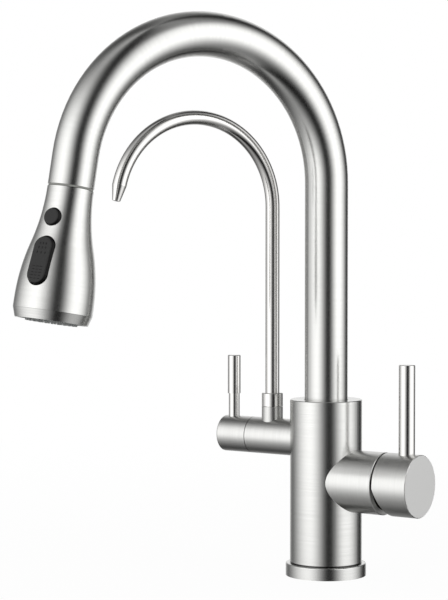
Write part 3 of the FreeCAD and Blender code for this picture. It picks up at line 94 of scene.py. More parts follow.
# %% Camera
ROUND_THE_FAUCET, DISTANCE, EYE_HEIGHT = math.radians(31.678), 1408.05 * MM, 247.86 * MM
TURNED_BY, TIPPED_DOWN = math.radians(2.894), math.radians(2.287)
FOCAL_PIXELS, LONG_SIDE_PIXELS, SENSOR = 2025.56, 600, 36
heading = ROUND_THE_FAUCET + TURNED_BY
eye = Vector((math.sin(ROUND_THE_FAUCET) * DISTANCE, -math.cos(ROUND_THE_FAUCET) * DISTANCE, EYE_HEIGHT))
ahead = Vector((-math.sin(heading) * math.cos(TIPPED_DOWN), math.cos(heading) * math.cos(TIPPED_DOWN),
                -math.sin(TIPPED_DOWN)))
lens = bpy.data.cameras.new("photo_lens")
lens.sensor_width = SENSOR
lens.lens = FOCAL_PIXELS * SENSOR / LONG_SIDE_PIXELS
camera = bpy.data.objects.new("photo_camera", lens)
camera.location = eye
camera.rotation_mode = "QUATERNION"
camera.rotation_quaternion = ahead.to_track_quat("-Z", "Y")
scene.collection.objects.link(camera)
scene.camera = camera
scene.view_settings.view_transform = "Standard"
print("lens", round(lens.lens, 1), "mm")

# %% [markdown]
# Every finish below is a small graph of shader nodes. One function adds a node, sets it and links it, and another
# turns the hex codes that a paint chart uses into the linear numbers that light adds up in. A node that mixes has
# sockets for numbers, vectors and colours all in one row, so the places of its colours get names.

# %% Helpers for finishes
MIX_SHARE = 0
TONE_A, TONE_B, TONE_OUT = 6, 7, 2


def add(tree, kind, settings, inputs):
    """Adds a node. An input is a number, a colour, or the output of another node."""
    node = tree.nodes.new(kind)
    for name, setting in settings.items():
        setattr(node, name, setting)
    link(tree, node, inputs)
    return node


def link(tree, node, inputs):
    """Fills inputs of a node that is already there."""
    for name, given in inputs.items():
        if isinstance(given, bpy.types.NodeSocket):
            tree.links.new(given, node.inputs[name])
        else:
            node.inputs[name].default_value = given


def linear(code):
    """An sRGB hex colour in the linear numbers of a shader."""
    shares = [int(code[place:place + 2], 16) / 255 for place in (0, 2, 4)]
    return [c / 12.92 if c <= 0.04045 else ((c + 0.055) / 1.055) ** 2.4 for c in shares] + [1.0]


def blank(name):
    """A new material with nothing in it yet."""
    material = bpy.data.materials.new(name)
    material.use_nodes = True
    material.node_tree.nodes.clear()
    return material, material.node_tree


def finish_of(name):
    """A new material with only its main shader in it."""
    material, tree = blank(name)
    shader = add(tree, "ShaderNodeBsdfPrincipled", {}, {})
    add(tree, "ShaderNodeOutputMaterial", {}, {"Surface": shader.outputs[0]})
    return material, tree, shader


print("half grey on a paint chart is", round(linear("808080")[0], 2), "in light")

# %% [markdown]
# The room is white. The camera sees a plain white world, and so would gloss and glass. The light that reaches matt
# surfaces from it is a little lower, so that a colour renders as it is written once the lamps are added.

# %% White world
def seen_directly(tree):
    """1 for rays of the camera, of gloss and of glass, 0 for the soft light that lands on matt surfaces."""
    rays = add(tree, "ShaderNodeLightPath", {}, {}).outputs
    first = add(tree, "ShaderNodeMath", {"operation": "ADD"},
                {0: rays["Is Camera Ray"], 1: rays["Is Glossy Ray"]}).outputs[0]
    return add(tree, "ShaderNodeMath", {"operation": "ADD", "use_clamp": True},
               {0: first, 1: rays["Is Transmission Ray"]}).outputs[0]


WORLD_FILL = 0.62
world = bpy.data.worlds.new("white_room")
world.use_nodes = True
scene.world = world
sky = world.node_tree
sky.nodes.clear()
fill = add(sky, "ShaderNodeBackground", {}, {"Color": linear("ffffff"), "Strength": WORLD_FILL})
white = add(sky, "ShaderNodeBackground", {}, {"Color": linear("ffffff"), "Strength": 1.0})
either = add(sky, "ShaderNodeMixShader", {}, {0: seen_directly(sky), 1: fill.outputs[0], 2: white.outputs[0]})
add(sky, "ShaderNodeOutputWorld", {}, {"Surface": either.outputs[0]})
print("world fill", WORLD_FILL)

# %% [markdown]
# The floor is a sheet of white paper. Paper that is lit from one side only is never pure white, so a photographer
# lights the sheet by itself. Here most of its white is its own glow, and further off all of it is, where the sheet
# runs into the white room without an edge. Near the faucet the rest is matt and keeps a faint shadow.

# %% Paper floor
FLOOR_RADIUS, SHADOW_FULL, SHADOW_GONE, OWN_GLOW = 6.0, 0.1, 0.9, 0.96
paper, sheet = blank("white paper, matt")
matt = add(sheet, "ShaderNodeBsdfDiffuse", {}, {"Color": linear("f5f5f3")})
glow = add(sheet, "ShaderNodeEmission", {}, {"Color": linear("ffffff"), "Strength": 1.0})
spot = add(sheet, "ShaderNodeTexCoord", {}, {}).outputs["Object"]
reach = add(sheet, "ShaderNodeVectorMath", {"operation": "LENGTH"}, {0: spot}).outputs["Value"]
share = add(sheet, "ShaderNodeMapRange", {"interpolation_type": "SMOOTHSTEP"},
            {"Value": reach, "From Min": SHADOW_FULL, "From Max": SHADOW_GONE, "To Min": OWN_GLOW, "To Max": 1.0})
shown = add(sheet, "ShaderNodeMath", {"operation": "MULTIPLY"}, {0: share.outputs[0], 1: seen_directly(sheet)})
mixed = add(sheet, "ShaderNodeMixShader", {}, {0: shown.outputs[0], 1: matt.outputs[0], 2: glow.outputs[0]})
add(sheet, "ShaderNodeOutputMaterial", {}, {"Surface": mixed.outputs[0]})


def in_scene(build, name, material):
    """An object in the scene from a mesh under construction, which ends here."""
    mesh = bpy.data.meshes.new(name)
    build.to_mesh(mesh)
    build.free()
    mesh.materials.append(material)
    made = bpy.data.objects.new(name, mesh)
    scene.collection.objects.link(made)
    return made


def ring_at(build, centre, radius, one_way, other_way, sides):
    """A round ring of points in the plane of two directions."""
    turns = [2 * math.pi * n / sides for n in range(sides)]
    return [build.verts.new(centre + radius * (one_way * math.cos(turn) + other_way * math.sin(turn)))
            for turn in turns]


ROUND_SIDES = 64
disc = bmesh.new()
disc.faces.new(ring_at(disc, Vector(), FLOOR_RADIUS, Vector((1, 0, 0)), Vector((0, 1, 0)), ROUND_SIDES))
floor = in_scene(disc, "paper_floor", paper)
floor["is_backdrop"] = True
print("floor", FLOOR_RADIUS, "m")

# %% [markdown]
# Polished and brushed metal has hardly a colour of its own: it shows the room. The dark and bright bands down the
# column are the room of a product photographer: a tent of white cloth, lit from outside by a lamp on each side, with
# a dark slit between them that the camera looks through. The bands could be painted on the steel, but then they would
# stay put when the faucet turns. So here the tent is built, and its tones are scales of angles. One runs round the
# faucet, from the back by the left, the camera and the right. The others run from the floor to the top, one for each
# side, because the right lamp reaches a little higher.

# %% Tones of the tent
CLOTH_ROUND = ((-180, 0.55), (-140, 0.12), (-54, 0.95), (4, 0.01), (12, 0.01), (59, 0.95), (70, 0.95),
               (132, 0.02), (142, 0.02), (164, 0.5), (180, 0.55))
LEFT_UP = ((-90, 0.4), (-60, 0.16), (-42, 0.3), (-28, 0.5), (-17, 0.86), (-9, 1.0), (0, 1.0), (14, 1.0),
           (27, 0.95), (39, 0.65), (55, 0.2), (90, 0.4))
RIGHT_UP = ((-90, 0.4), (-60, 0.12), (-42, 0.26), (-28, 0.52), (-18, 0.74), (-9, 1.0), (0, 1.0), (14, 1.0),
            (32, 1.0), (44, 0.8), (57, 0.08), (90, 0.3))


def graded(tree, angle, stops, blending):
    """A smooth scale of tones. Each stop pairs an angle in degrees with a tone."""
    first, last = stops[0][0], stops[-1][0]
    place = add(tree, "ShaderNodeMapRange", {}, {"Value": angle, "From Min": math.radians(first),
                                                 "From Max": math.radians(last)})
    scale = add(tree, "ShaderNodeValToRGB", {}, {0: place.outputs[0]})
    scale.color_ramp.interpolation = blending
    ramp = scale.color_ramp.elements
    for degrees, tone in stops[1:-1]:
        ramp.new((degrees - first) / (last - first)).color = (tone, tone, tone, 1)
    for end in (0, -1):
        tone = stops[end][1]
        ramp[end].color = (tone, tone, tone, 1)
    return scale.outputs[0]


print("tones:", len(CLOTH_ROUND), "round,", len(LEFT_UP), "up the left,", len(RIGHT_UP), "up the right")

# %% [markdown]
# Every point of the cloth has a place as seen from the middle of the tent: how far towards the camera, how far to the
# right, and how high. Arc tangents turn these into the angle round the faucet and the angle up, and the scales give
# the tone of the cloth there.

# %% Tent cloth
TENT_GLOW = 1.96
towards = Vector((-ahead.x, -ahead.y, 0)).normalized()
rightwards = Vector((-towards.y, towards.x, 0))
cloth, weave = blank("white tent cloth, lit from outside")
spot = add(weave, "ShaderNodeTexCoord", {}, {}).outputs["Object"]
nearer = add(weave, "ShaderNodeVectorMath", {"operation": "DOT_PRODUCT"}, {0: spot, 1: towards}).outputs["Value"]
aside = add(weave, "ShaderNodeVectorMath", {"operation": "DOT_PRODUCT"}, {0: spot, 1: rightwards}).outputs["Value"]
level = add(weave, "ShaderNodeVectorMath", {"operation": "MULTIPLY"}, {0: spot, 1: (1, 1, 0)}).outputs[0]
away = add(weave, "ShaderNodeVectorMath", {"operation": "LENGTH"}, {0: level}).outputs["Value"]
height = add(weave, "ShaderNodeSeparateXYZ", {}, {0: spot}).outputs[2]
turned_by = add(weave, "ShaderNodeMath", {"operation": "ARCTAN2"}, {0: aside, 1: nearer}).outputs[0]
raised_by = add(weave, "ShaderNodeMath", {"operation": "ARCTAN2"}, {0: height, 1: away}).outputs[0]
on_right = add(weave, "ShaderNodeMath", {"operation": "GREATER_THAN"}, {0: aside, 1: 0.0}).outputs[0]
upright = add(weave, "ShaderNodeMix", {"data_type": "RGBA"},
              {MIX_SHARE: on_right, TONE_A: graded(weave, raised_by, LEFT_UP, "B_SPLINE"),
               TONE_B: graded(weave, raised_by, RIGHT_UP, "B_SPLINE")}).outputs[TONE_OUT]
tone = add(weave, "ShaderNodeVectorMath", {"operation": "MULTIPLY"},
           {0: graded(weave, turned_by, CLOTH_ROUND, "EASE"), 1: upright}).outputs[0]
lit = add(weave, "ShaderNodeEmission", {}, {"Color": tone, "Strength": TENT_GLOW})
add(weave, "ShaderNodeOutputMaterial", {}, {"Surface": lit.outputs[0]})
print("cloth glows at", TENT_GLOW)

# %% [markdown]
# The tent itself is a sphere round the faucet that only gloss sees. The floor is hidden from gloss in turn, so the
# lower half of the tent shows in the steel.

# %% Light tent
TENT_RADIUS, TENT_MIDDLE = 1.7, 0.22
dome = bmesh.new()
bmesh.ops.create_uvsphere(dome, u_segments=ROUND_SIDES, v_segments=ROUND_SIDES // 2, radius=TENT_RADIUS)
tent = in_scene(dome, "light_tent", cloth)
tent.location.z = TENT_MIDDLE
tent.visible_camera = tent.visible_diffuse = tent.visible_shadow = tent.visible_transmission = False
floor.visible_glossy = False
tent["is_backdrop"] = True
print("tent", 2 * TENT_RADIUS, "m across")

# %% [markdown]
# Plastic, rubber and the paper are matt, and take their light from the two lamps themselves. Gloss has the tent, so
# the lamps are hidden from it.

# %% Lamps
LAMP_DISTANCE, AIM_HEIGHT = 1.7, 0.3


def lamp_box(name, degrees, size, radiance):
    """A wide lamp, degrees to the right of the camera's side, that faces the faucet."""
    lamp = bpy.data.lights.new(name, "AREA")
    lamp.shape = "RECTANGLE"
    lamp.size, lamp.size_y = size
    lamp.energy = radiance * math.pi * size[0] * size[1]
    box = bpy.data.objects.new(name, lamp)
    angle = math.radians(degrees)
    out = towards * math.cos(angle) + rightwards * math.sin(angle)
    box.location = out * LAMP_DISTANCE + Vector((0, 0, AIM_HEIGHT))
    box.rotation_mode = "QUATERNION"
    box.rotation_quaternion = out.to_track_quat("Z", "Y")
    box.visible_camera = box.visible_glossy = False
    scene.collection.objects.link(box)


lamp_box("left_lamp", degrees=-50, size=(0.92, 1.9), radiance=1.65)
lamp_box("right_lamp", degrees=60, size=(1.08, 1.9), radiance=1.45)
print("lamps at", LAMP_DISTANCE, "m")

# %% [markdown]
# The housings, the column, the main spout and the spray head are stainless steel, turned against an abrasive belt.
# The belt leaves fine lines that run round each piece. Real lines are about a tenth of a millimetre wide and would
# vanish at this size of picture, so they are drawn 0.5 mm wide. A noise that is stretched round the piece gives
# them: it tints the steel, roughens it, and tips the surface a little, which draws the highlights out along the
# piece. The stretch follows a piece's own axis, so the same recipe serves pieces that stand, lie and lean.

# %% Brushed stainless steel
LINE_WIDTH, LINE_LENGTH, LINE_DEPTH = 0.5 * MM, 40 * MM, 0.01 * MM
STEEL_DARK, STEEL_LIGHT = "c1c1bf", "d1d1cf"
DULL, LYING_DULL, LINE_GLOSS = 0.25, 0.33, 0.05
NOISE_LOW, NOISE_HIGH = 0.25, 0.75


def belt_lines(tree, shader, place, dull):
    """Colour, roughness and relief of belt-brushed steel, with the lines across the third coordinate of place."""
    lines = add(tree, "ShaderNodeTexNoise", {},
                {"Vector": place, "Scale": 1.0, "Detail": 3.0, "Roughness": 0.6}).outputs[0]
    tint = add(tree, "ShaderNodeMix", {"data_type": "RGBA"},
               {MIX_SHARE: lines, TONE_A: linear(STEEL_DARK), TONE_B: linear(STEEL_LIGHT)}).outputs[TONE_OUT]
    rough = add(tree, "ShaderNodeMapRange", {}, {"Value": lines, "From Min": NOISE_LOW, "From Max": NOISE_HIGH,
                                                 "To Min": dull, "To Max": dull - LINE_GLOSS})
    relief = add(tree, "ShaderNodeBump", {}, {"Strength": 0.2, "Distance": LINE_DEPTH, "Height": lines})
    link(tree, shader, {"Base Color": tint, "Metallic": 1.0, "Roughness": rough.outputs[0],
                        "Normal": relief.outputs[0]})
    return tint


def stretched(tree, place, axis):
    """Place in line widths along the axis and line lengths across it."""
    return add(tree, "ShaderNodeMapping", {"vector_type": "TEXTURE"},
               {"Vector": place, "Rotation": Vector(axis).to_track_quat("Z", "Y").to_euler(),
                "Scale": (LINE_LENGTH, LINE_LENGTH, LINE_WIDTH)}).outputs[0]


def brushed_round(name, axis, dull):
    """Belt-brushed steel with lines that run round the axis."""
    material, tree, shader = finish_of(name)
    place = add(tree, "ShaderNodeTexCoord", {}, {}).outputs["Object"]
    belt_lines(tree, shader, stretched(tree, place, axis), dull)
    return material


outlet = Vector(joints["spray_pull"]["axis"])
brushed_upright = brushed_round("brushed stainless steel, standing", (0, 0, 1), DULL)
brushed_lying = brushed_round("brushed stainless steel, lying", (1, 0, 0), LYING_DULL)
brushed_head = brushed_round("brushed stainless steel, spray head", outlet, DULL)
print("brushed lines", LINE_WIDTH / MM, "mm wide")

# %% [markdown]
# The column meets the flange in a narrow groove, cut in the CAD piece. Little light gets into it, so all of the
# column below its upper edge takes a dark tone in place of the brushed one: painted shade of the groove.

# %% Brushed column with painted shade in the groove
GROOVE_TOP, GROOVE_SHADE = 9.6 * MM, "4c4c4b"
brushed_column, tree, shader = finish_of("brushed stainless steel, column")
spot = add(tree, "ShaderNodeTexCoord", {}, {}).outputs["Object"]
belt_tint = belt_lines(tree, shader, stretched(tree, spot, (0, 0, 1)), DULL)
height = add(tree, "ShaderNodeSeparateXYZ", {}, {0: spot}).outputs[2]
groove_shade_mask = add(tree, "ShaderNodeMath", {"operation": "LESS_THAN"}, {0: height, 1: GROOVE_TOP}).outputs[0]
# Below the groove's top the steel takes the dark tone of painted shade.
tint = add(tree, "ShaderNodeMix", {"data_type": "RGBA"},
           {MIX_SHARE: groove_shade_mask, TONE_A: belt_tint, TONE_B: linear(GROOVE_SHADE)})
link(tree, shader, {"Base Color": tint.outputs[TONE_OUT]})
print("groove dark up to", GROOVE_TOP / MM, "mm")

# %% [markdown]
# The end of the mixer's cap is faced flat and brushed straight, up and down. The same noise serves, stretched along Z
# where the surface faces the end and round the axis elsewhere. This finer brushing leaves the end duller than the
# belt does. The end is also a touch lighter: a painted sheen, for the highlight that straight brushing draws out
# sideways.

# %% Brushed cap with a straight-brushed end
END_DULL, END_PAINTED_SHEEN, END_FACING = 0.66, "e6e6e5", 0.9
PLACE_A, PLACE_B, PLACE_OUT = 4, 5, 1  # where a mix node has its vectors
brushed_cap, tree, shader = finish_of("brushed stainless steel, cap")
spots = add(tree, "ShaderNodeTexCoord", {}, {}).outputs
facing = add(tree, "ShaderNodeSeparateXYZ", {}, {0: spots["Normal"]}).outputs[0]
on_end = add(tree, "ShaderNodeMath", {"operation": "GREATER_THAN"}, {0: facing, 1: END_FACING}).outputs[0]
chosen = add(tree, "ShaderNodeMix", {"data_type": "VECTOR"},
             {MIX_SHARE: on_end, PLACE_A: stretched(tree, spots["Object"], (1, 0, 0)),
              PLACE_B: stretched(tree, spots["Object"], (0, 1, 0))}).outputs[PLACE_OUT]
belt_tint = belt_lines(tree, shader, chosen, LYING_DULL)
haze = add(tree, "ShaderNodeMapRange", {}, {"Value": on_end, "To Min": LYING_DULL, "To Max": END_DULL}).outputs[0]
# The lighter tone of the end is a painted sheen; its higher roughness is real.
tint = add(tree, "ShaderNodeMix", {"data_type": "RGBA"},
           {MIX_SHARE: on_end, TONE_A: belt_tint, TONE_B: linear(END_PAINTED_SHEEN)})
link(tree, shader, {"Base Color": tint.outputs[TONE_OUT], "Roughness": haze})
print("cap end brushed upright")

# %% [markdown]
# On the bent spout the lines run round the tube all the way along, so they have to follow the bend. The third
# coordinate of the noise is then the way along the tube: height on the straight leg, and on the arch the angle about
# its centre times its radius.

# %% Brushed spout
ARCH_RADIUS, ARCH_START, SPOUT_TURN = 98.4 * MM, 272.6 * MM, math.radians(-113.8)
forward = Vector((math.cos(SPOUT_TURN), math.sin(SPOUT_TURN), 0))
sideways = Vector((-forward.y, forward.x, 0))
brushed_spout, tree, shader = finish_of("brushed stainless steel, bent spout")
spot = add(tree, "ShaderNodeTexCoord", {}, {}).outputs["Object"]
out = add(tree, "ShaderNodeVectorMath", {"operation": "DOT_PRODUCT"}, {0: spot, 1: forward}).outputs["Value"]
aside = add(tree, "ShaderNodeVectorMath", {"operation": "DOT_PRODUCT"}, {0: spot, 1: sideways}).outputs["Value"]
up = add(tree, "ShaderNodeSeparateXYZ", {}, {0: spot}).outputs[2]
over = add(tree, "ShaderNodeMath", {"operation": "SUBTRACT"}, {0: up, 1: ARCH_START}).outputs[0]
above = add(tree, "ShaderNodeMath", {"operation": "MAXIMUM"}, {0: over, 1: 0.0}).outputs[0]
below = add(tree, "ShaderNodeMath", {"operation": "MINIMUM"}, {0: over, 1: 0.0}).outputs[0]
inwards = add(tree, "ShaderNodeMath", {"operation": "SUBTRACT"}, {0: ARCH_RADIUS, 1: out}).outputs[0]
bend = add(tree, "ShaderNodeMath", {"operation": "ARCTAN2"}, {0: above, 1: inwards}).outputs[0]
along = add(tree, "ShaderNodeMath", {"operation": "MULTIPLY_ADD"}, {0: bend, 1: ARCH_RADIUS, 2: below}).outputs[0]
route = add(tree, "ShaderNodeCombineXYZ", {}, {0: aside, 2: along}).outputs[0]
belt_lines(tree, shader, stretched(tree, route, (0, 0, 1)), DULL)
print("spout lines follow the bend")

# %% [markdown]
# The filter spout and both lever rods are drawn stainless bar and tube, buffed after drawing. Buffing leaves a closer
# and shinier skin than a belt: the bands of the room stay sharp, with only a faint haze and hair lines along the rod.

# %% Buffed stainless steel
HAIR_WIDTH, HAIR_LENGTH = 0.6 * MM, 60 * MM
BUFFED_DARK, BUFFED_LIGHT = "d0cfcd", "d9d8d6"
satin, tree, shader = finish_of("buffed stainless steel")
spot = add(tree, "ShaderNodeTexCoord", {}, {}).outputs["Object"]
hair = add(tree, "ShaderNodeMapping", {"vector_type": "TEXTURE"},
           {"Vector": spot, "Scale": (HAIR_WIDTH, HAIR_WIDTH, HAIR_LENGTH)}).outputs[0]
hairs = add(tree, "ShaderNodeTexNoise", {}, {"Vector": hair, "Scale": 1.0, "Detail": 2.0}).outputs[0]
tint = add(tree, "ShaderNodeMix", {"data_type": "RGBA"},
           {MIX_SHARE: hairs, TONE_A: linear(BUFFED_DARK), TONE_B: linear(BUFFED_LIGHT)})
haze = add(tree, "ShaderNodeMapRange", {}, {"Value": hairs, "To Min": 0.15, "To Max": 0.18})
link(tree, shader, {"Base Color": tint.outputs[TONE_OUT], "Metallic": 1.0, "Roughness": haze.outputs[0]})
print("hair lines", HAIR_WIDTH / MM, "mm wide")

# %% [markdown]
# Inside are turned steel pins and screws, machined brass fittings and drawn copper pipes. A cutting tool leaves
# rings a few tenths of a millimetre apart, and handling leaves broad dull patches. Each metal is the same small
# recipe: fine noise for the tool, broad noise for the patches.

# %% Turned and drawn metals
TOOL_DEPTH = 0.02 * MM


def bare_metal(name, dark, light, smooth, dull, mark, patch):
    """A metal left as the tool made it. Mark and patch are the sizes of its tool marks and dull spots."""
    material, tree, shader = finish_of(name)
    spot = add(tree, "ShaderNodeTexCoord", {}, {}).outputs["Object"]
    broad = add(tree, "ShaderNodeTexNoise", {}, {"Vector": spot, "Scale": 1 / patch, "Detail": 3.0}).outputs[0]
    fine = add(tree, "ShaderNodeTexNoise", {}, {"Vector": spot, "Scale": 1 / mark, "Detail": 1.0}).outputs[0]
    tint = add(tree, "ShaderNodeMix", {"data_type": "RGBA"},
               {MIX_SHARE: broad, TONE_A: linear(dark), TONE_B: linear(light)})
    haze = add(tree, "ShaderNodeMapRange", {}, {"Value": broad, "To Min": smooth, "To Max": dull})
    relief = add(tree, "ShaderNodeBump", {}, {"Strength": 0.3, "Distance": TOOL_DEPTH, "Height": fine})
    link(tree, shader, {"Base Color": tint.outputs[TONE_OUT], "Metallic": 1.0, "Roughness": haze.outputs[0],
                        "Normal": relief.outputs[0]})
    return material


turned_steel = bare_metal("turned steel", "a9a9a8", "c8c8c6", smooth=0.20, dull=0.36, mark=0.5 * MM, patch=8 * MM)
brass = bare_metal("machined brass", "b7955a", "dcc088", smooth=0.18, dull=0.34, mark=0.5 * MM, patch=9 * MM)
copper = bare_metal("drawn copper", "b06f4e", "d79a78", smooth=0.20, dull=0.38, mark=0.6 * MM, patch=12 * MM)
# Brass darkened almost to black is painted shade, for the nut and the stem in the dark gap behind the mixer's cap.
gap_shade_brass = bare_metal("brass, darkened by painted gap shade", "1c1a18", "2a2725", smooth=0.4, dull=0.55, mark=0.5 * MM, patch=9 * MM)
print("metals:", turned_steel.name, brass.name, copper.name, gap_shade_brass.name)

# %% [markdown]
# The plastics are injection moulded. A mould is spark-eroded to a fine texture, so the plastic is matt with a grain
# of about 0.3 mm, drawn 0.6 mm here. Rubber is softer and duller, and fired alumina is white, close and glossy.

# %% Moulded plastics, rubber and ceramic
GRAIN, SKIN_DEPTH, FLOW_PATCH, ABS_IOR = 0.6 * MM, 0.03 * MM, 12 * MM, 1.53
LAPPED_GRAIN, LAPPED_DEPTH = 0.4 * MM, 0.004 * MM


def moulded(name, dark, light, smooth, dull, ior, grain=GRAIN, depth=SKIN_DEPTH):
    """A moulded or fired piece: a fine grain in its skin, and slow changes of tone where the melt flowed."""
    material, tree, shader = finish_of(name)
    spot = add(tree, "ShaderNodeTexCoord", {}, {}).outputs["Object"]
    flow = add(tree, "ShaderNodeTexNoise", {}, {"Vector": spot, "Scale": 1 / FLOW_PATCH, "Detail": 3.0}).outputs[0]
    skin = add(tree, "ShaderNodeTexNoise", {}, {"Vector": spot, "Scale": 1 / grain, "Detail": 2.0}).outputs[0]
    tint = add(tree, "ShaderNodeMix", {"data_type": "RGBA"},
               {MIX_SHARE: flow, TONE_A: linear(dark), TONE_B: linear(light)})
    haze = add(tree, "ShaderNodeMapRange", {}, {"Value": skin, "To Min": smooth, "To Max": dull})
    relief = add(tree, "ShaderNodeBump", {}, {"Strength": 0.4, "Distance": depth, "Height": skin})
    link(tree, shader, {"Base Color": tint.outputs[TONE_OUT], "Roughness": haze.outputs[0], "IOR": ior,
                        "Normal": relief.outputs[0]})
    return material


acetal = moulded("acetal, moulded white", "dcdcd6", "eeeeea", smooth=0.35, dull=0.5, ior=1.48)
dock_abs = moulded("ABS, moulded grey", "8a8b87", "989994", smooth=0.4, dull=0.55, ior=ABS_IOR)
core_abs = moulded("ABS, moulded black", "2c2c2d", "343435", smooth=0.4, dull=0.55, ior=ABS_IOR)
face_abs = moulded("ABS, moulded mid grey", "8d8f8f", "999b9b", smooth=0.38, dull=0.52, ior=ABS_IOR)
silicone = moulded("silicone, moulded grey", "8a8c8c", "969898", smooth=0.5, dull=0.65, ior=1.41)
rubber = moulded("EPDM rubber, moulded", "242424", "303030", smooth=0.6, dull=0.8, ior=1.5)
alumina = moulded("alumina, lapped", "ecebe6", "f6f5f1", smooth=0.18, dull=0.28, ior=1.77,
                  grain=LAPPED_GRAIN, depth=LAPPED_DEPTH)
print("moulded grain", GRAIN / MM, "mm")

# %% [markdown]
# The record names a finish for each CAD node. Each node's slot now gets the finish made for it. Brushed pieces take
# the one whose lines run round their own axis. The nut and the stem inside the mixer, which show in the gap behind
# the cap, take a brass darkened almost to black: painted shade of the gap.

# %% Finishes on the CAD pieces
by_slot = {"satin_steel": satin, "plain_steel": turned_steel, "brass": brass, "copper_pipe": copper,
           "white_plastic": acetal, "dock_plastic": dock_abs, "core_plastic": core_abs,
           "button_plastic": core_abs, "face_plastic": face_abs, "nozzle_silicone": silicone,
           "black_rubber": rubber, "ceramic": alumina, "hose_sheath": rubber}
by_node = {"base_flange": brushed_upright, "body_column": brushed_column, "mixer_housing": brushed_lying,
           "mixer_cap": brushed_cap, "filter_arm": brushed_lying, "filter_cap": brushed_lying,
           "spout_tube": brushed_spout, "head_shell": brushed_head, "cartridge_nut": gap_shade_brass,
           "mixer_stem": gap_shade_brass}
for row in frame["record"]["subparts"]:
    chosen = by_node.get(row["node"]) or by_slot[row["material_slot"]]
    for slot in nodes[row["node"]].material_slots:
        slot.material = chosen

# %% [markdown]
# The hose is a rubber core in a sheath of braided nylon. Two sets of flat strands wind round it in opposite ways and
# pass over and under each other. Strands could be modelled one by one, but they are 3 mm wide and lie flat, so two
# crossed sine waves on the unrolled sheath give their relief and tone. The tone is darker where the relief is low:
# painted shade in the dips between the strands.

# %% Braided nylon
STRANDS, BRAID_PITCH, BRAID_DEPTH = 12, 40 * MM, 0.3 * MM
BRAID_DIP_SHADE, BRAID_LIGHT = "3e3f41", "84868a"
braid, tree, shader = finish_of("nylon, braided")
sheath = add(tree, "ShaderNodeTexCoord", {}, {}).outputs["UV"]
round_by, along_by = add(tree, "ShaderNodeSeparateXYZ", {}, {0: sheath}).outputs[:2]
winds = []
for way in (1, -1):
    lead = add(tree, "ShaderNodeMath", {"operation": "MULTIPLY"},
               {0: along_by, 1: way * STRANDS / BRAID_PITCH}).outputs[0]
    turns = add(tree, "ShaderNodeMath", {"operation": "MULTIPLY_ADD"}, {0: round_by, 1: STRANDS, 2: lead})
    phase = add(tree, "ShaderNodeMath", {"operation": "MULTIPLY"}, {0: turns.outputs[0], 1: 2 * math.pi})
    winds.append(add(tree, "ShaderNodeMath", {"operation": "SINE"}, {0: phase.outputs[0]}).outputs[0])
crossed = add(tree, "ShaderNodeMath", {"operation": "MULTIPLY"}, {0: winds[0], 1: winds[1]}).outputs[0]
height = add(tree, "ShaderNodeMapRange", {}, {"Value": crossed, "From Min": -1.0, "From Max": 1.0}).outputs[0]
# Low parts of the braid take the dark tone: painted shade in the dips.
tint = add(tree, "ShaderNodeMix", {"data_type": "RGBA"},
           {MIX_SHARE: height, TONE_A: linear(BRAID_DIP_SHADE), TONE_B: linear(BRAID_LIGHT)})
sheen = add(tree, "ShaderNodeMapRange", {}, {"Value": height, "To Min": 0.6, "To Max": 0.38})
relief = add(tree, "ShaderNodeBump", {}, {"Strength": 0.7, "Distance": BRAID_DEPTH, "Height": height})
link(tree, shader, {"Base Color": tint.outputs[TONE_OUT], "Roughness": sheen.outputs[0], "IOR": 1.53,
                    "Normal": relief.outputs[0]})
print("braid", STRANDS, "strands each way")

# %% [markdown]
# The hose lies in the spout from the foot to the spray head. Its line is a smooth spline: a few control points on
# the straight leg and at the corners of a polygon round the arch give a curve that touches the arch between them.

# %% Line of the hose inside the spout
HOSE_FOOT, ARCH_SWEEP, LAST_RUN, CORNERS = 24.05 * MM, math.radians(170.5), 7.4 * MM, 5
half_step = ARCH_SWEEP / CORNERS / 2
tangent = ARCH_RADIUS * math.tan(half_step)


def on_spout(outwards, upwards):
    """A point in the upright plane of the spout."""
    return forward * outwards + Vector((0, 0, upwards))


def on_arch(angle, radius):
    """A point at an angle round the centre of the arch, from the standing leg."""
    return on_spout(ARCH_RADIUS - radius * math.cos(angle), ARCH_START + radius * math.sin(angle))


spout_end = on_arch(ARCH_SWEEP, ARCH_RADIUS)
controls = [on_spout(0, HOSE_FOOT), on_spout(0, ARCH_START - tangent)]
controls += [on_arch(half_step * (2 * n + 1), ARCH_RADIUS / math.cos(half_step)) for n in range(CORNERS)]
controls += [spout_end + outlet * LAST_RUN]
line = bpy.data.curves.new("hose_line", "CURVE")
line.dimensions = "3D"
spline = line.splines.new("NURBS")
spline.points.add(len(controls) - 1)
for point, place in zip(spline.points, controls):
    point.co = (*place, 1)
spline.order_u = 3
spline.use_endpoint_u = True
spline.resolution_u = 12
guide = bpy.data.objects.new("hose_line", line)
scene.collection.objects.link(guide)
bpy.context.view_layer.update()
read = bpy.data.meshes.new_from_object(guide.evaluated_get(bpy.context.evaluated_depsgraph_get()))
centres = [v.co.copy() for v in read.vertices]
bpy.data.objects.remove(guide)
print("hose centre line from", len(centres), "points")

# %% [markdown]
# The tube is built on points read from that spline: a ring of points at each, and a band of faces between every two
# rings. The turn round the tube and the length along it are the two texture coordinates of the sheath, as if it were
# cut open and unrolled.

# %% Hose inside the spout
HOSE_RADIUS, SIDES = 6 * MM, 24


def joined(build, ring, following):
    """The smooth faces of a band between two rings of points."""
    band = []
    for n in range(len(ring)):
        after = (n + 1) % len(ring)
        face = build.faces.new((ring[n], ring[after], following[after], following[n]))
        face.smooth = True
        band.append(face)
    return band


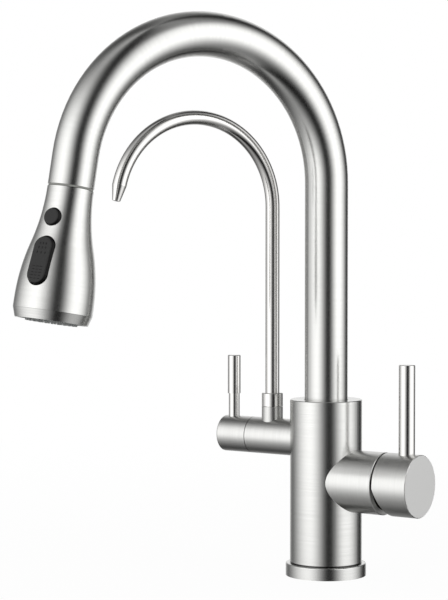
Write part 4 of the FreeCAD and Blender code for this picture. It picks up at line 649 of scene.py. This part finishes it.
def sheathed_tube(name, centres, lengths):
    """A tube of the hose's radius on its centres. Lengths give each ring's place along the unrolled sheath."""
    build = bmesh.new()
    unrolled = build.loops.layers.uv.new("unrolled")
    rings = []
    for number, centre in enumerate(centres):
        before, after = centres[max(number - 1, 0)], centres[min(number + 1, len(centres) - 1)]
        across = sideways.cross((after - before).normalized()).normalized()
        rings.append(ring_at(build, centre, HOSE_RADIUS, sideways, across, SIDES))
    for number in range(len(rings) - 1):
        for n, face in enumerate(joined(build, rings[number], rings[number + 1])):
            for loop, turn, ring in zip(face.loops, (n, n + 1, n + 1, n), (0, 0, 1, 1)):
                loop[unrolled].uv = (turn / SIDES, lengths[number + ring])
    for ring in (rings[0], rings[-1]):
        build.faces.new(ring)
    bmesh.ops.recalc_face_normals(build, faces=build.faces)
    tube = in_scene(build, name, braid)
    return tube


lengths = [0.0]
for before, after in zip(centres, centres[1:]):
    lengths.append(lengths[-1] + (after - before).length)
hose = sheathed_tube("hose_in_spout", centres, lengths)
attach(hose, "spout")
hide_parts("spray_hose")
print("hose in the spout", round(lengths[-1] / MM), "mm")

# %% [markdown]
# When the head is pulled down, 400 mm of hose comes out of the spout. The model keeps it folded away as a short tube
# in the end of the spout. Its rings are spaced so that they lie evenly when it is fully out, and so does the braid on
# them. Where each ring has to start is found by halving.

# %% Hose that is pulled out
PULL, PULLED_RINGS = joints["spray_pull"]["range_m"][1], 60
FOLDED, HALVINGS = 36 * MM, 40
folded_start = spout_end + outlet * (LAST_RUN - FOLDED)


def eased(share_along):
    """A share from 0 to 1 that starts and ends slowly."""
    return share_along ** 2 * (3 - 2 * share_along)


def pulled_place(share_along):
    """Where a ring at a share of the folded tube is when the hose is fully out."""
    return share_along * FOLDED + eased(share_along) * PULL


folded_shares = []
for number in range(PULLED_RINGS + 1):
    wanted, low, high = number / PULLED_RINGS * (FOLDED + PULL), 0.0, 1.0
    for halving in range(HALVINGS):
        middle = (low + high) / 2
        low, high = (middle, high) if pulled_place(middle) < wanted else (low, middle)
    folded_shares.append(low)
folded_centres = [folded_start + outlet * FOLDED * share_along for share_along in folded_shares]
pulled = sheathed_tube("hose_pulled_out", folded_centres, [pulled_place(s) for s in folded_shares])
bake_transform(pulled)
print("hose out of the spout", round(PULL / MM), "mm")

# %% [markdown]
# The button and the rocker are black ABS, with faces of a charcoal matt that a wet thumb can grip. Their sides are
# coloured almost pure black as painted shade, the shade of the recess they stand in. One material looks at which way
# the surface faces, so the change from face to painted shade follows the rounded edge.

# %% Faces and sides of the controls
HEAD_TOP = Vector(joints["spray_head_turn"]["pos_m"])
ROCKER_SLOPE = math.radians(11.18)
CHARCOAL_DARK, CHARCOAL_LIGHT, SIDE_PAINTED_SHADE = "2f2f2f", "383838", "020202"
SIDE_FACING, FACE_FACING = 0.6, 0.92
hinge = Vector(joints["rocker_tilt"]["pos_m"])
from_axis = hinge - HEAD_TOP
from_axis = (from_axis - outlet * from_axis.dot(outlet)).normalized()
proud = from_axis * math.cos(ROCKER_SLOPE) - outlet * math.sin(ROCKER_SLOPE)
button_way = -Vector(joints["button_press"]["axis"])


def thumb_face(name, way):
    """Charcoal where the surface faces the way the thumb comes from, and near-black painted shade on the sides."""
    material, tree, shader = finish_of(name)
    spots = add(tree, "ShaderNodeTexCoord", {}, {}).outputs
    skin = add(tree, "ShaderNodeTexNoise", {},
               {"Vector": spots["Object"], "Scale": 1 / GRAIN, "Detail": 2.0}).outputs[0]
    tint = add(tree, "ShaderNodeMix", {"data_type": "RGBA"},
               {MIX_SHARE: skin, TONE_A: linear(CHARCOAL_DARK), TONE_B: linear(CHARCOAL_LIGHT)}).outputs[TONE_OUT]
    facing = add(tree, "ShaderNodeVectorMath", {"operation": "DOT_PRODUCT"}, {0: spots["Normal"], 1: way})
    face = add(tree, "ShaderNodeMapRange", {"interpolation_type": "SMOOTHSTEP"},
               {"Value": facing.outputs["Value"], "From Min": SIDE_FACING, "From Max": FACE_FACING}).outputs[0]
    # On the sides the charcoal gives way to near black: painted shade of the recess.
    colour = add(tree, "ShaderNodeMix", {"data_type": "RGBA"},
                 {MIX_SHARE: face, TONE_A: linear(SIDE_PAINTED_SHADE), TONE_B: tint})
    relief = add(tree, "ShaderNodeBump", {}, {"Strength": 0.4, "Distance": SKIN_DEPTH, "Height": skin})
    link(tree, shader, {"Base Color": colour.outputs[TONE_OUT], "Roughness": 0.55, "IOR": ABS_IOR,
                        "Specular IOR Level": 0.18, "Normal": relief.outputs[0]})
    return material


nodes["mode_rocker"].material_slots[0].material = thumb_face("ABS, moulded charcoal, rocker", proud)
nodes["round_button"].material_slots[0].material = thumb_face("ABS, moulded charcoal, button", button_way)
print("rocker faces", [round(c, 2) for c in proud])

# %% [markdown]
# The rocker's face carries signs that a thumb can feel: a fan of nine dots for the spray on its upper half, and rows
# of short dashes on the lower half for the plain stream. They stand about a fifth of a millimetre proud. The dots are
# low drops and the dashes are ridges with rounded backs, built in one mesh on the rocker's own axes. A row of dots is
# given by its height above the hinge and the space between its dots, both in mm.

# %% Marks on the rocker
PIN_DEPTH, ROCKER_PROUD = 6.5 * MM, 1.6 * MM
MARK_HEIGHT, SUNK, MARK_LEVELS, MARK_SIDES = 0.22 * MM, 0.05 * MM, 4, 16
DOT_RADIUS, DOT_STRETCH, DASH_HALF, DASH_RADIUS = 0.55 * MM, 1.6, 0.7 * MM, 0.26 * MM
DOT_ROWS = ((10.6, 2.2), (7.8, 2.5), (4.5, 2.9))
DASH_ROWS, FIRST_DASH, DASH_PITCH, DASH_SPREAD = 5, -4.6, -2.0, 2.7
COLUMNS = (-1, 0, 1)
hinge_way = Vector(joints["rocker_tilt"]["axis"])
up_head = -(from_axis * math.sin(ROCKER_SLOPE) + outlet * math.cos(ROCKER_SLOPE))
pad_top = hinge + proud * (PIN_DEPTH + ROCKER_PROUD)
mark_abs = moulded("ABS, moulded black, smooth", "070707", "0b0b0b", smooth=0.5, dull=0.6, ior=1.4)
marks = bmesh.new()


def mark(up_by, across_by, half_length, radius, stretch):
    """A low rounded mark: a drop where half_length is 0, and otherwise a ridge across the rocker."""
    previous = None
    for level in range(MARK_LEVELS):
        lean = math.pi / 2 * level / MARK_LEVELS
        ring = []
        for n in range(MARK_SIDES):
            angle = 2 * math.pi * n / MARK_SIDES
            long_way = math.cos(angle) * radius * math.cos(lean) + math.copysign(half_length, math.cos(angle))
            wide = math.sin(angle) * radius * stretch * math.cos(lean)
            place = pad_top + up_head * (up_by + wide) + hinge_way * (across_by + long_way)
            ring.append(marks.verts.new(place + proud * (MARK_HEIGHT * math.sin(lean) - SUNK)))
        if previous:
            joined(marks, previous, ring)
        previous = ring
    marks.faces.new(previous).smooth = True


for up_by, spread in DOT_ROWS:
    for column in COLUMNS:
        mark(up_by * MM, column * spread * MM, 0.0, DOT_RADIUS, DOT_STRETCH)
for row in range(DASH_ROWS):
    for column in COLUMNS:
        mark((FIRST_DASH + DASH_PITCH * row) * MM, column * DASH_SPREAD * MM, DASH_HALF, DASH_RADIUS, 1.0)
bmesh.ops.recalc_face_normals(marks, faces=marks.faces)
rocker_marks = in_scene(marks, "rocker_marks", mark_abs)
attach(rocker_marks, "rocker")
print("rocker marks", len(rocker_marks.data.polygons), "faces")

# %% [markdown]
# A coil of spring wire behind the round button pushes it back out. In the CAD model it is a plain sleeve that shows
# its room, so the length and width of the coil are measured on the sleeve.

# %% Room for the button spring
spring_low, spring_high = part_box("button_spring")
spring_middle = (spring_low + spring_high) / 2
sleeve = [v.co - spring_middle for v in nodes["button_spring"].data.vertices]
ends = [v.dot(button_way) for v in sleeve]
sleeve_radius = max((v - button_way * v.dot(button_way)).length for v in sleeve)
SPRING_LENGTH = max(ends) - min(ends)
print("spring", round(SPRING_LENGTH / MM, 1), "mm long,", round(2 * sleeve_radius / MM, 1), "mm across")

# %% [markdown]
# The spring is wound from round wire, closer at both ends where the turns rest flat.

# %% Button spring
WIRE_RADIUS, COILS, WIRE_SIDES, COIL_STEPS = 0.3 * MM, 5, 8, 28
EVEN_RISE = 0.4
coil_radius = sleeve_radius - WIRE_RADIUS
one_spoke = button_way.cross(outlet).normalized()
other_spoke = button_way.cross(one_spoke)
wire = bmesh.new()
previous = None
for number in range(COILS * COIL_STEPS + 1):
    share_along = number / (COILS * COIL_STEPS)
    climb = EVEN_RISE * share_along + (1 - EVEN_RISE) * eased(share_along)
    rise = min(ends) + WIRE_RADIUS + (SPRING_LENGTH - 2 * WIRE_RADIUS) * climb
    angle = 2 * math.pi * number / COIL_STEPS
    outward = one_spoke * math.cos(angle) + other_spoke * math.sin(angle)
    centre = spring_middle + button_way * rise + outward * coil_radius
    ring = ring_at(wire, centre, WIRE_RADIUS, outward, button_way, WIRE_SIDES)
    if previous:
        joined(wire, previous, ring)
    else:
        wire.faces.new(ring)
    previous = ring
wire.faces.new(previous)
bmesh.ops.recalc_face_normals(wire, faces=wire.faces)
button_coil = in_scene(wire, "button_coil", turned_steel)
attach(button_coil, "spray_head")
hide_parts("button_spring")
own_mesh(button_coil)
print("spring of", COILS, "coils")

# %% [markdown]
# The size of the finished model's box is printed, in mm. The finished model has to stay in the box of
# the CAD model.

# %% Size and end
low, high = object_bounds()
print("visual box in mm:", [round(side / MM, 1) for side in high - low])
